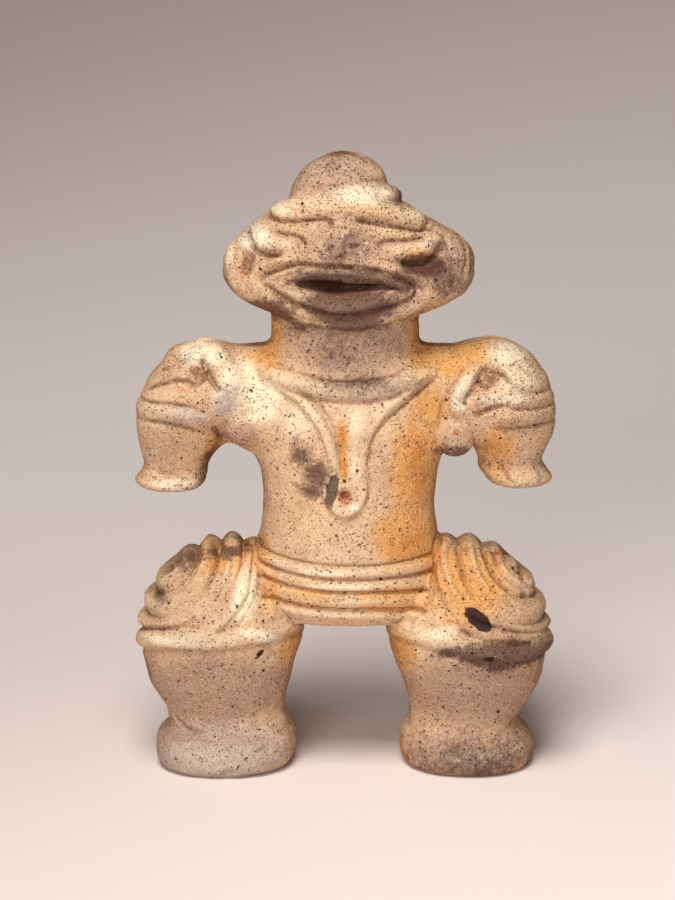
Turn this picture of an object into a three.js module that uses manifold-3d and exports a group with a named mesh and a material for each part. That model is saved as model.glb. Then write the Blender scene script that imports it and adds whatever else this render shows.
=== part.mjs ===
// A hand-modelled clay figurine, 250 mm tall, standing on two swollen legs and facing -Y.
// Millimetres, +Z up, soles on Z = 0. Left and right are as the viewer in front sees them.
import * as THREE from 'three';
import { mergeVertices } from 'three/addons/utils/BufferGeometryUtils.js';
import Module from 'manifold-3d';

const wasm = await Module();
wasm.setup();

// Each row is one level of a body: height, left edge, right edge, front, back.
const TRUNK = [
  [60, -19, 19, -14, 14],
  [62.5, -30, 31, -21, 19],
  [88.5, -36.2, 38.7, -27.3, 25],
  [100, -33.8, 36.7, -26.5, 23.5],
  [112, -33, 35.8, -26, 23],
  [122, -34, 37, -25, 23],
  [131, -37.3, 39.8, -24.4, 23],
  [143, -42.5, 43.5, -23.5, 22],
  [155, -45, 45, -22.4, 20.5],
  [164, -42, 42, -19.5, 18],
  [170, -34, 34, -14, 14],
];
const SHOULDERS = [
  [131, -43, 43, -12, 9],
  [134.5, -50, 50, -18, 15],
  [142, -54, 54, -21.6, 18.5],
  [155, -55, 55, -21.4, 18],
  [164, -52, 52, -17.5, 15],
  [169, -48, 48, -12, 10],
  [171.6, -45, 45, -5, 5],
];
const NECK = [
  [155, -36, 36, -20.5, 19.5],
  [164, -34, 33.5, -21, 20],
  [170, -31.2, 30.6, -21.2, 20.5],
  [178, -29.4, 29, -21.5, 20.5],
  [196, -29, 29, -18, 18],
];
const HEAD = [
  [180.3, -2, 2, -18, -10],
  [183, -17, 17, -22.5, 0],
  [187, -29, 30, -25, 6],
  [191, -38.5, 40.5, -26, 11],
  [196, -45.8, 47.8, -26, 15],
  [202, -48.8, 50.6, -25, 18],
  [207, -48.6, 50.8, -23.5, 19],
  [212, -46.4, 49.6, -22, 19.5],
  [217, -42.2, 44.6, -21, 19.5],
  [221, -37.5, 37.5, -20.5, 19],
  [226, -29.5, 28, -19, 18],
  [230, -22, 21, -15, 15],
];
const CROWN = [
  [222, -26, 22, -16, 17],
  [231, -23, 19, -15, 16.5],
  [237, -20.8, 16.6, -14, 16],
  [242, -17.3, 14, -12, 14],
  [246.5, -11.8, 9.5, -8, 10],
  [249, -6, 4, -4, 5],
  [249.9, -2, 0, -1, 1],
];

// An arm and a leg are given for the right side, and the left is their mirror image:
// height, inner edge, outer edge, front, back.
const ARM = [
  [113.5, 62, 76, -9, 7],
  [115.8, 57.5, 82.3, -14, 12],
  [118.3, 55.6, 84, -15.2, 13.2],
  [121.5, 54.8, 82.5, -14, 12.5],
  [125, 54.5, 80.8, -13.2, 12],
  [130, 52.2, 81.8, -14.5, 13],
  [136, 46.5, 83.3, -17, 15.5],
  [144, 40, 84, -19.6, 18],
  [152, 35, 83, -21.2, 19],
  [160, 34, 79.6, -20, 18],
  [166, 37, 74.5, -17, 16],
  [171, 43, 68, -12, 12],
  [174.4, 52, 60, -5, 5],
];
const LEG = [
  [0, 26.5, 72.5, -24.5, 21],
  [3.5, 22.2, 76.6, -28.8, 25],
  [8, 21.2, 77.6, -29.6, 26],
  [13, 22, 75.6, -26.6, 23.5],
  [18.3, 24.6, 71.4, -21.6, 19.5],
  [23, 25.2, 73.2, -21.2, 19.5],
  [29, 24.5, 76.6, -23, 21],
  [37, 22.2, 80.6, -26.4, 25],
  [43.5, 19.8, 83.4, -29.6, 29],
];
const ARM_CENTRE = 60;
const LEG_CENTRE = 49.4;
const FOOT_ROWS = 4;

// Rolls and bands: the heights of the grooves between them, how far the bands stand out from the
// body and how far the grooves sink into it.
// The arm's bands slope down towards the body, round the height of their middle, from x = level.
const BELT = { grooves: [62.5, 70.6, 77.4, 82.8, 88.5], rise: 1, sink: 0.9 };
const ARM_BANDS = { grooves: [143.6, 152, 160.4], rise: 0.3, sink: 1.2, slope: 0.13, level: 66 };
const ARM_SLOPE = { from: 130, full: 140, fade: 162, end: 172 };

// A thigh is an egg that leans towards the waist, wrapped in rolls of clay. Each roll keeps its own
// distance from a pole high on the outer side.
const THIGH = { x: 51, z: 52, halfWidth: 32.4, halfDepth: 30.5, up: 40.5, down: 16, lean: 0.13 };
const POLE_FORWARD = 17;
const ROLLS = { count: 4, pitch: 9.7, rise: 2.3, poleRise: 0.9, crestShare: 0.22 };
const RINGS_UNDER_ROLLS = 3;

// The rolled edge over the calf, low at the outer side and rising towards the crotch and the front.
const KNEE = { z: 50, reach: 86.4, inner: 17.6, depth: 33.5, halfHeight: 3.4, rise: 7, bendFrom: 29 };
const KNEE_ROUNDING = { levels: [-1, -0.45, 0.45, 1], inset: 2.7 };

// The collar is a ring of clay that dips from the shoulders to its lowest place in front and behind.
const COLLAR = { front: 157.8, sides: 169.5, radius: 2.9, lift: 0.9, dip: 1.3 };
const NAVEL = { x: -0.2, z: 116.2, radius: 2.9, floorRadius: 2, depth: 6 };

// A raised panel hangs from the collar and ends in a round boss at the navel. Its edge runs from the
// left end of the collar down round the boss and up again, and a groove runs down its left half.
// Places on the front of the figure are x and z, in pairs.
const BIB = { rise: 1.5, steps: 20, reach: 40, edgeLift: 0.9, edgeRadius: 1.4, grooveRadius: 1.6 };
const BIB_EDGE = [
  [-26, 163.5], [-16.5, 155.5], [-8.5, 143], [-7.4, 128], [-9, 116.5], [-6.4, 110], [0, 107.3],
  [6.2, 110], [8.8, 116.5], [7.6, 127], [9.4, 140], [16.5, 151.5], [30, 163.5],
];
const BIB_GROOVE = [[-17, 158], [-10, 150], [-5, 139.5], [-1.6, 129], [-0.4, 120.5]];

// The mouth is a slit between lips, inside a wider frame that reaches the chin.
// The two rings round it are pointed at their ends.
const MOUTH = { x: -0.5, z: 199.2, halfWidth: 19.5, halfHeight: 2.6, depth: 12, turn: 2 };
const LIPS = { halfWidth: 25, up: 5.4, down: 9, radius: 2.3, around: 18 };
const MOUTH_FRAME = { halfWidth: 35, up: 9.2, down: 14.8, radius: 2.5, around: 24 };
const MOUTH_POINT = 1.4;
const NOSE = { x: 0.5, z: 216, halfWidth: 5, halfHeight: 8, reach: 3 };
const EYE_REACH = 3.5;
const EAR_DEPTH = 3;
const ARM_HOLLOW_DEPTH = 3.4;
const BROW_GROOVE = { radius: 1, sides: 4 };
const EYE_GROOVE = { radius: 1.2, sides: 4 };

// The topknot has a small knob on its right side.
const KNOB = { x: 15.5, z: 231.5, halfWidth: 7.5, halfHeight: 6, reach: 8, lift: -6 };

// The band over the brows, from left to right.
const HEADBAND = [[-26.5, 226.3], [-18, 228.6], [-4, 229.5], [10, 229], [22, 226.5], [31, 222.5]];
const HEADBAND_ROLL = { lift: -2, radius: 3.6 };

// What the maker's hand left different between the two sides.
const SIDES = [
  {
    side: -1,
    armLift: 0,
    armSize: 1,
    legSize: 1,
    footReach: 1,
    kneeTilt: 0.22,
    poleTilt: 40,
    firstRoll: 8.5,
    eye: { x: -26, z: 215, halfWidth: 11, halfHeight: 4.2, turn: 12 },
    brow: [[-29, 225.5], [-18, 225.2], [-7.5, 225.6], [-5, 220]],
    underEye: [[-37.5, 218], [-35.5, 212.5], [-31, 210.8], [-22, 210.5]],
    ear: { x: -38.5, z: 204.5, halfWidth: 4, halfHeight: 6.5, turn: -25 },
    breast: { x: -40, z: 141, halfWidth: 8, halfHeight: 6.6, reach: 4.5, turn: 20 },
    strap: [[-53, 169.5], [-49.5, 163], [-46, 155], [-41.5, 145]],
    strapRadius: 3.6,
    hollow: { x: -54.6, z: 162.5, halfWidth: 3.4, halfHeight: 7.5, turn: -32 },
  },
  {
    side: 1,
    armLift: 0.8,
    armSize: 0.985,
    legSize: 0.97,
    footReach: 0,
    kneeTilt: 0.06,
    poleTilt: 42,
    firstRoll: 6.5,
    eye: { x: 24.5, z: 212.6, halfWidth: 12, halfHeight: 4.2, turn: -6 },
    brow: [[3.6, 225.6], [13, 223.8], [23, 221.8], [33, 221.2]],
    underEye: [[37, 213], [33.5, 209.3], [28, 208], [21, 208]],
    ear: { x: 40.5, z: 206.5, halfWidth: 4, halfHeight: 6.5, turn: 25 },
    breast: { x: 42.5, z: 139, halfWidth: 7.6, halfHeight: 7.6, reach: 7.5, turn: 0 },
    strap: [[50, 169.5], [47.5, 164], [44.5, 156], [41, 147]],
    strapRadius: 3.2,
    hollow: { x: 53.6, z: 160.6, halfWidth: 3.4, halfHeight: 7.5, turn: 34 },
  },
];

// The strap along the edge between chest and arm lies proud of the shoulder.
const STRAP_LIFT = 2;

// How square a level is: 2 is an ellipse.
const SQUARENESS = 2.25;

// A place near a body's edge counts as this share of the way out, so that its front point stays defined.
const EDGE_SHARE = 0.98;

// Rows this near to a band's first or last groove give way to the band's own rows.
const BAND_MARGIN = 1.5;

function power(value) {
  return Math.sign(value) * Math.abs(value) ** (2 / SQUARENESS);
}

// The level of a body at any height, between its rows.
function levelAt(rows, z) {
  const last = rows.length - 1;
  if (z <= rows[0][0]) {
    return rows[0];
  }
  if (z >= rows[last][0]) {
    return rows[last];
  }
  const above = rows.findIndex((row) => row[0] >= z);
  const share = (z - rows[above - 1][0]) / (rows[above][0] - rows[above - 1][0]);
  return rows[above].map((value, i) => THREE.MathUtils.lerp(rows[above - 1][i], value, share));
}

// A point on a level's edge: angle 0 looks right, 90 degrees back, -90 degrees front.
function edgePoint([z, left, right, front, back], angle, lift = 0) {
  const x = (left + right) / 2 + ((right - left) / 2 + lift) * power(Math.cos(angle));
  const y = (front + back) / 2 + ((back - front) / 2 + lift) * power(Math.sin(angle));
  return new THREE.Vector3(x, y, z);
}

// The front of a body at a place seen from the front.
function frontPoint(rows, x, z, lift = 0) {
  const [, left, right, front, back] = levelAt(rows, z);
  const across = Math.min(Math.abs(x - (left + right) / 2) / ((right - left) / 2), EDGE_SHARE);
  const reach = (1 - across ** SQUARENESS) ** (1 / SQUARENESS);
  return new THREE.Vector3(x, (front + back) / 2 - ((back - front) / 2) * reach - lift, z);
}

// Calls change(point) for every corner of a geometry, and writes the changed point back.
function bend(geometry, change) {
  const position = geometry.getAttribute('position');
  const point = new THREE.Vector3();
  for (let i = 0; i < position.count; i += 1) {
    point.fromBufferAttribute(position, i);
    change(point);
    position.setXYZ(i, point.x, point.y, point.z);
  }
  return geometry;
}

// A closed geometry as a solid that can be joined and cut.
function solid(geometry) {
  const plain = geometry.clone();
  plain.deleteAttribute('normal');
  plain.deleteAttribute('uv');
  const merged = mergeVertices(plain, 1e-3);
  return new wasm.Manifold(new wasm.Mesh({
    numProp: 3,
    vertProperties: new Float32Array(merged.getAttribute('position').array),
    triVerts: new Uint32Array(merged.getIndex().array),
  }));
}

// A body through its levels. shift(point, row) may move the corners of a level.
function loft(rows, sides, { lift = 0, shift = () => {} } = {}) {
  const steps = rows.length - 1;
  const drum = new THREE.CylinderGeometry(1, 1, 1, sides, steps);
  drum.rotateX(Math.PI / 2);
  bend(drum, (point) => {
    const row = rows[Math.round((point.z + 0.5) * steps)];
    if (Math.hypot(point.x, point.y) < 0.5) {
      point.set((row[1] + row[2]) / 2, (row[3] + row[4]) / 2, row[0]);
    } else {
      point.copy(edgePoint(row, Math.atan2(point.y, point.x), lift));
    }
    shift(point, row);
  });
  return solid(drum);
}

// The rows of a body with raised bands between grooves.
function banded(rows, { grooves, rise, sink }) {
  const last = grooves[grooves.length - 1];
  const outside = rows.filter(([z]) => z < grooves[0] - BAND_MARGIN || z > last + BAND_MARGIN);
  const widened = (z, out) => {
    const [, left, right, front, back] = levelAt(rows, z);
    return [z, left - out, right + out, front - out, back + out];
  };
  const bands = [widened(grooves[0], -sink)];
  for (let i = 1; i < grooves.length; i += 1) {
    const width = grooves[i] - grooves[i - 1];
    bands.push(widened(grooves[i - 1] + width * 0.25, rise));
    bands.push(widened(grooves[i - 1] + width * 0.75, rise));
    bands.push(widened(grooves[i], -sink));
  }
  return [...outside, ...bands].sort((a, b) => a[0] - b[0]);
}

// A ring of clay round a loop. middle(angle) is the middle of the ring; upright rings face the front.
function ring(middle, radius, around, upright = false) {
  const torus = new THREE.TorusGeometry(2, 1, 4, around);
  bend(torus, (point) => {
    const angle = Math.atan2(point.y, point.x);
    const outward = (Math.hypot(point.x, point.y) - 2) * radius;
    const along = point.z * radius;
    const offset = upright
      ? new THREE.Vector3(Math.cos(angle) * outward, -along, Math.sin(angle) * outward)
      : new THREE.Vector3(Math.cos(angle) * outward, Math.sin(angle) * outward, along);
    point.copy(middle(angle)).add(offset);
  });
  return solid(torus);
}

// A round rod along a smooth curve on the front of a body, through places seen from the front.
function rod(rows, places, { lift = 0, radius, steps = 8, sides = 5 }) {
  const outline = [];
  for (let i = 0; i < sides; i += 1) {
    const angle = (i / sides) * 2 * Math.PI;
    outline.push(new THREE.Vector2(radius * Math.cos(angle), radius * Math.sin(angle)));
  }
  const points = places.map(([x, z]) => frontPoint(rows, x, z, lift));
  const extrudePath = new THREE.CatmullRomCurve3(points, false, 'centripetal');
  return solid(new THREE.ExtrudeGeometry(new THREE.Shape(outline), { steps, extrudePath }));
}

// An egg shape on the front of a body, turned clockwise as seen from the front.
function egg(rows, { x, z, halfWidth, halfHeight, turn = 0 }, reach, lift = 0, sides = 10) {
  const ball = new THREE.SphereGeometry(1, sides, 5);
  ball.rotateX(Math.PI / 2);
  ball.scale(halfWidth, reach, halfHeight);
  ball.rotateY(THREE.MathUtils.degToRad(turn));
  const middle = frontPoint(rows, x, z, lift);
  ball.translate(middle.x, middle.y, middle.z);
  return solid(ball);
}

// The rows of an arm or a leg on its own side.
function onSide(rows, side, centre, size, lift) {
  return rows.map(([z, inner, outer, front, back]) => {
    const edges = [inner, outer].map((edge) => side * (centre + (edge - centre) * size));
    return [z + lift, Math.min(...edges), Math.max(...edges), front, back];
  });
}

// The thigh's skin along a direction from its middle, without the rolls.
function thighPoint(side, direction, rise = 0) {
  const { x, z, halfWidth, halfDepth, up, down, lean } = THIGH;
  const halfHeight = direction.z > 0 ? up : down;
  const reach = 1 / Math.hypot(direction.x / halfWidth, direction.y / halfDepth, direction.z / halfHeight);
  const point = direction.clone().multiplyScalar(reach + rise);
  point.x -= side * lean * point.z;
  return point.add(new THREE.Vector3(side * x, 0, z));
}

function thigh({ side, poleTilt, firstRoll }) {
  const pole = new THREE.Vector3(0, 0, 1);
  pole.applyAxisAngle(new THREE.Vector3(1, 0, 0), THREE.MathUtils.degToRad(POLE_FORWARD));
  pole.applyAxisAngle(new THREE.Vector3(0, 1, 0), side * THREE.MathUtils.degToRad(poleTilt));
  const polePoint = thighPoint(side, pole);
  const turned = new THREE.Quaternion().setFromUnitVectors(new THREE.Vector3(0, 1, 0), pole);

  // the direction at an angle from the pole, on one turn round the pole
  const directionAt = (spread, turn) => new THREE.Vector3()
    .setFromSphericalCoords(1, spread, turn).applyQuaternion(turned);

  // the angle from the pole at which the skin is a given distance from it
  const spreadAt = (distance, turn) => {
    let near = 0;
    let far = Math.PI;
    while (far - near > 1e-6) {
      const middle = (near + far) / 2;
      if (thighPoint(side, directionAt(middle, turn)).distanceTo(polePoint) < distance) {
        near = middle;
      } else {
        far = middle;
      }
    }
    return near;
  };

  const { count, pitch, rise: rollRise, poleRise, crestShare } = ROLLS;
  const rolls = [{ distance: 0, rise: poleRise }];
  for (let roll = 0; roll < count; roll += 1) {
    const crest = firstRoll + roll * pitch;
    rolls.push({ distance: crest - pitch * crestShare, rise: rollRise });
    rolls.push({ distance: crest + pitch * crestShare, rise: rollRise });
    rolls.push({ distance: crest + pitch / 2, rise: 0 });
  }
  const rings = rolls.length - 1 + RINGS_UNDER_ROLLS;
  const ball = new THREE.SphereGeometry(1, 18, rings);
  const spherical = new THREE.Spherical();
  bend(ball, (point) => {
    spherical.setFromVector3(point);
    const ringNumber = Math.round((spherical.phi / Math.PI) * rings);
    const { distance, rise } = rolls[Math.min(ringNumber, rolls.length - 1)];
    const share = Math.max(ringNumber - rolls.length + 1, 0) / RINGS_UNDER_ROLLS;
    const turn = spherical.theta;
    const spread = THREE.MathUtils.lerp(distance > 0 ? spreadAt(distance, turn) : 0, Math.PI, share);
    point.copy(thighPoint(side, directionAt(spread, share === 1 ? 0 : turn), rise));
  });
  return solid(ball);
}

// The calf and foot, and the rolled edge that the calf hangs from.
function leg({ side, legSize, footReach, kneeTilt }) {
  const rows = onSide(LEG, side, LEG_CENTRE, legSize, 0);
  rows.slice(0, FOOT_ROWS).forEach((row) => {
    row[3] -= footReach;
  });
  const { z, reach, inner, depth, halfHeight, rise, bendFrom } = KNEE;
  const roll = KNEE_ROUNDING.levels.map((share) => {
    const inset = KNEE_ROUNDING.inset * (1 - Math.sqrt(1 - share * share));
    return [z + share * halfHeight, inner + inset, reach - inset, inset - depth, depth - inset];
  });
  rows.push(...onSide(roll, side, LEG_CENTRE, 1, 0));
  const shift = (point, row) => {
    const inward = (reach - side * point.x) / (reach - inner);
    const share = THREE.MathUtils.smoothstep(row[0], bendFrom, z);
    point.z += share * (rise * inward ** 2 + kneeTilt * Math.max(-point.y, 0));
  };
  return loft(rows, 20, { shift });
}

function armRows({ side, armLift, armSize }) {
  return onSide(ARM, side, ARM_CENTRE, armSize, armLift);
}

function arm(hand) {
  const shift = (point, row) => {
    const share = THREE.MathUtils.smoothstep(row[0], ARM_SLOPE.from, ARM_SLOPE.full)
      - THREE.MathUtils.smoothstep(row[0], ARM_SLOPE.fade, ARM_SLOPE.end);
    point.z += share * ARM_BANDS.slope * (hand.side * point.x - ARM_BANDS.level);
  };
  return loft(banded(armRows(hand), ARM_BANDS), 16, { shift });
}

function collar() {
  const middle = (angle) => {
    const share = Math.abs(Math.sin(angle)) ** COLLAR.dip;
    const z = THREE.MathUtils.lerp(COLLAR.sides, COLLAR.front, share);
    return edgePoint(levelAt(NECK, z), angle, COLLAR.lift);
  };
  return ring(middle, COLLAR.radius, 16);
}

function bib() {
  const edge = new THREE.SplineCurve(BIB_EDGE.map(([x, z]) => new THREE.Vector2(x, z)));
  const outline = new THREE.Shape(edge.getSpacedPoints(BIB.steps));
  const prism = new THREE.ExtrudeGeometry(outline, { depth: BIB.reach, bevelEnabled: false });
  prism.rotateX(Math.PI / 2);
  return solid(prism).intersect(loft(TRUNK.slice(3), 24, { lift: BIB.rise }));
}

function mouthRing({ halfWidth, up, down, radius, around }) {
  const middle = (angle) => {
    const height = Math.sin(angle) > 0 ? up : down;
    const x = MOUTH.x + halfWidth * Math.cos(angle);
    const z = MOUTH.z + height * Math.sign(Math.sin(angle)) * Math.abs(Math.sin(angle)) ** MOUTH_POINT;
    return frontPoint(HEAD, x, z);
  };
  return ring(middle, radius, around, true);
}

function navelHole() {
  const { x, z, radius, floorRadius, depth } = NAVEL;
  const pin = new THREE.CylinderGeometry(floorRadius, radius, depth * 2, 10);
  const middle = frontPoint(TRUNK, x, z);
  pin.translate(middle.x, middle.y, middle.z);
  return solid(pin);
}

const added = [
  loft(banded(TRUNK, BELT), 24),
  loft(SHOULDERS, 16),
  loft(NECK, 16),
  loft(HEAD, 24),
  loft(CROWN, 16),
  collar(),
  bib(),
  mouthRing(LIPS),
  mouthRing(MOUTH_FRAME),
  egg(CROWN, KNOB, KNOB.reach, KNOB.lift),
  egg(HEAD, NOSE, NOSE.reach),
  rod(HEAD, HEADBAND, HEADBAND_ROLL),
];
const removed = [
  egg(HEAD, MOUTH, MOUTH.depth, 0, 14),
  navelHole(),
  rod(TRUNK, BIB_EDGE, { lift: BIB.edgeLift, radius: BIB.edgeRadius, steps: BIB.steps, sides: 4 }),
  rod(TRUNK, BIB_GROOVE, { lift: BIB.rise, radius: BIB.grooveRadius, sides: 4 }),
];
SIDES.forEach((hand) => {
  const armLevels = armRows(hand);
  added.push(leg(hand), thigh(hand), arm(hand));
  added.push(egg(HEAD, hand.eye, EYE_REACH));
  added.push(egg(SHOULDERS, hand.breast, hand.breast.reach));
  added.push(rod(SHOULDERS, hand.strap, { lift: STRAP_LIFT, radius: hand.strapRadius }));
  removed.push(rod(HEAD, hand.brow, BROW_GROOVE));
  removed.push(rod(HEAD, hand.underEye, EYE_GROOVE));
  removed.push(egg(HEAD, hand.ear, EAR_DEPTH, 0, 8));
  removed.push(egg(armLevels, hand.hollow, ARM_HOLLOW_DEPTH, 0, 8));
});

const whole = added.reduce((joined, piece) => joined.add(piece));
const figureSolid = removed.reduce((left, piece) => left.subtract(piece), whole);

function toGeometry(manifold) {
  const mesh = manifold.getMesh();
  const geometry = new THREE.BufferGeometry();
  geometry.setAttribute('position', new THREE.BufferAttribute(new Float32Array(mesh.vertProperties), 3));
  geometry.setIndex(new THREE.BufferAttribute(new Uint32Array(mesh.triVerts), 1));
  geometry.computeVertexNormals();
  return geometry;
}

const firedClay = new THREE.MeshStandardMaterial({ color: 0xc8a67c, roughness: 0.88, metalness: 0 });
const figure = new THREE.Mesh(toGeometry(figureSolid), firedClay);
figure.name = 'figure';

const group = new THREE.Group();
group.add(figure);

export default group;
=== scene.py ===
# A hand-modelled figurine of buff fired clay: a wide pointed face with a long mouth slit, puffed arms,
# a banded waist, and rolled thighs on short calves. It stands on its own feet and faces -Y.
# The skin is worked out in millimetres, with left and right as the viewer in front sees them.
import math

import bpy
import numpy as np
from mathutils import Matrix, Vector


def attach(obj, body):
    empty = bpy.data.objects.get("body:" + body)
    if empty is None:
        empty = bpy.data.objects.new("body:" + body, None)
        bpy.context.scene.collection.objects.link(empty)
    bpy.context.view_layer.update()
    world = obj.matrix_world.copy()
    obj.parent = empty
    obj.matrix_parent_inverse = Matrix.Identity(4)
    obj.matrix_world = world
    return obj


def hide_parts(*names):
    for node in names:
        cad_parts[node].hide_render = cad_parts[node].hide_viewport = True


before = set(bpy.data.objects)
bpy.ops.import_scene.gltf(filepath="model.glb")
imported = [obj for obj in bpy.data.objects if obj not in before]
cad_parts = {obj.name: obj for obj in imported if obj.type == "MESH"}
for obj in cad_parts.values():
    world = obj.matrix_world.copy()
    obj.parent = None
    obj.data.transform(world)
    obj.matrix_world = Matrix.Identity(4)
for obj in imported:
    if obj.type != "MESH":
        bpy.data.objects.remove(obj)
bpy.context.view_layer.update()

MM = 0.001

# Each row is one level of a body: height, left edge, right edge, front, back.
TRUNK = [
    (60, -20, 20, -14, 14), (64, -30, 31, -22, 20), (72, -35.5, 37.5, -26.5, 24.5),
    (80, -36.5, 38.8, -27.5, 25), (90, -35.8, 38.6, -27, 24.5), (100, -33.8, 36.7, -26.5, 23.5),
    (110, -33, 35.8, -26, 23), (121, -33.9, 37, -25, 23), (130, -37, 39.5, -24.5, 23),
    (142, -41, 43, -23.5, 22), (155, -42, 43, -22, 20.5), (165, -36, 36, -19.5, 18.5),
    (172, -26, 26, -14, 14),
]
SHOULDERS = [
    (131, -41, 41, -12, 9), (134.5, -48, 48, -17, 15), (142, -52, 52, -20, 18), (155, -54, 54, -19.5, 17.5),
    (164, -53, 53, -16.5, 14.5), (169, -51, 51, -13, 11), (172.6, -47, 47, -7, 6),
]
NECK = [
    (155, -36, 36, -20.5, 19.5), (164, -34, 33.5, -21, 20), (170, -31.2, 30.6, -21.2, 20.5),
    (177, -29.5, 29, -21.5, 20.5), (186, -29.4, 29, -21.5, 20), (196, -29, 29, -18, 18),
]
HEAD = [
    (180.3, -1, 1, -17, -10), (183, -17, 17, -22.5, 0), (187, -29, 30, -25, 6),
    (191, -38.5, 40.5, -26, 11), (196, -45.8, 47.8, -26, 15), (202, -48.8, 50.6, -25, 18),
    (207, -48.6, 50.8, -23.5, 19), (212, -46.4, 49.6, -22, 19.5), (217, -42.2, 44.6, -21, 19.5),
    (221, -37.5, 37.5, -20.5, 19), (225, -31.5, 30, -19.5, 18), (229, -25, 24, -16, 16),
    (232, -16, 16, -10, 12),
]
CROWN = [
    (222, -26, 23, -15, 17), (230, -23.2, 19.5, -15, 17), (236, -21.3, 17, -14.5, 16.5),
    (241, -18.2, 15.2, -12.5, 14.5), (246, -12.6, 10.5, -8.5, 10), (248.6, -6.8, 5, -4, 5.5),
    (249.8, -1.5, -0.5, 0, 1),
]
LEFT_ARM = [
    (113.8, -75, -64, -7, 5), (114.6, -79.5, -59.5, -11.5, 9.5), (116, -82.8, -57.4, -14.4, 12.4),
    (118.4, -84.4, -56, -15.4, 13.4),
    (121, -82.8, -55.4, -14, 12.5), (124, -81.2, -55.2, -13.2, 12), (129, -81.9, -52.8, -14.5, 13),
    (135, -83, -47, -17, 15.5), (143, -83.8, -40, -20, 18), (151, -82.8, -35, -21.5, 19),
    (159, -79.2, -34, -20.5, 18.5), (166, -73.5, -37, -17, 16), (171, -66.5, -43, -12, 12),
    (174, -59, -51, -5, 5),
]
RIGHT_ARM = [
    (115.4, 64, 74, -7, 5), (116.2, 60, 79, -11.5, 9.5), (117.6, 57.6, 82, -14.4, 12.4),
    (119.6, 56, 83.2, -15.2, 13.2),
    (122.5, 53.8, 81, -14, 12.5), (126, 53.2, 79.2, -13.2, 12), (131, 51.5, 81, -14.5, 13),
    (137, 46, 83.5, -17.5, 16), (144, 40, 84.1, -20, 18), (152, 35, 83.3, -21.5, 19),
    (160, 34, 80.8, -20.5, 18.5), (167, 37, 76, -17.5, 16.5), (172, 43, 70, -12.5, 12.5),
    (175.4, 54, 61, -5, 5),
]
LEFT_LEG = [
    (0, -74.5, -24.5, -26.5, 22), (3, -77, -21.6, -29.6, 25), (8, -77.6, -20.3, -30.2, 26),
    (13, -76.4, -20.6, -27.4, 23.5), (17, -72.4, -23.2, -22, 19.6), (22, -73.2, -24.6, -21.2, 19.5),
    (28, -76.3, -24.2, -23, 21), (36, -80.3, -22.2, -26.2, 24), (44, -82.2, -20.2, -29, 27),
    (50, -83.4, -18.2, -31, 29), (56, -83.4, -17, -32, 29.5), (64, -81.8, -19, -31.8, 29),
    (74, -77.6, -25, -29, 27), (83, -69.3, -31, -23, 22), (89, -60.3, -35.5, -15.5, 16),
    (92.3, -50, -40, -6, 7),
]
RIGHT_LEG = [
    (0, 26, 74.5, -25, 22), (3, 23.2, 76.6, -28, 25), (8, 22.4, 77.4, -28.6, 26),
    (13, 23, 75, -26, 23.5), (19, 26, 70.4, -21.2, 19.5), (23, 26, 72.5, -20.8, 19.5),
    (29, 25, 76.5, -22.6, 21), (36, 22.9, 79.8, -25.8, 24), (44, 20, 81.4, -28.7, 27),
    (50, 18.2, 82.8, -31, 29), (56, 17, 82.8, -32, 29.5), (64, 19, 81.2, -31.8, 29),
    (74, 25, 76.8, -29, 27), (83, 31, 68.8, -23, 22), (89, 35.5, 60, -15.5, 16), (92.3, 40, 50, -6, 7),
]

# How square the levels of each body are: 2 is an ellipse.
BODIES = [
    (TRUNK, 2.3), (SHOULDERS, 2.1), (NECK, 2.1), (HEAD, 2.25), (CROWN, 2.1),
    (LEFT_ARM, 2.2), (RIGHT_ARM, 2.2), (LEFT_LEG, 2.3), (RIGHT_LEG, 2.3),
]
# How softly the bodies join, the distance given away from a body, and the depths searched for the skin.
BODY_BLEND = 5
FAR = 40
DEEPEST = 40
DEPTH_STEP = 0.5
TINY = 1e-9

# Eggs of clay that stand out, and hollows that go in: middle x, z, how far the middle lies behind the
# skin, half sizes along x, y, z, the turn in degrees, and how softly it joins the skin.
KNOBS = [
    (-39.8, 141.0, 1.0, 8.4, 6.0, 6.8, 20, 2.5),
    (-62.5, 164.5, 14.5, 10.5, 9.0, 9.6, 12, 3.0),
    (43.4, 138.0, 0.0, 8.2, 7.8, 8.6, 0, 1.4),
    (16.0, 232.0, 4.5, 6.2, 6.8, 4.6, 0, 1.6),
]
HOLLOWS = [
    (-7.5, 199.2, 0.0, 12.5, 8.0, 2.5, 5, 1.0),
    (9.0, 198.9, 0.0, 12.0, 7.0, 1.8, -2, 1.0),
    (-0.2, 116.4, 0.0, 2.9, 4.6, 2.9, 0, 0.5),
]

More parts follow.
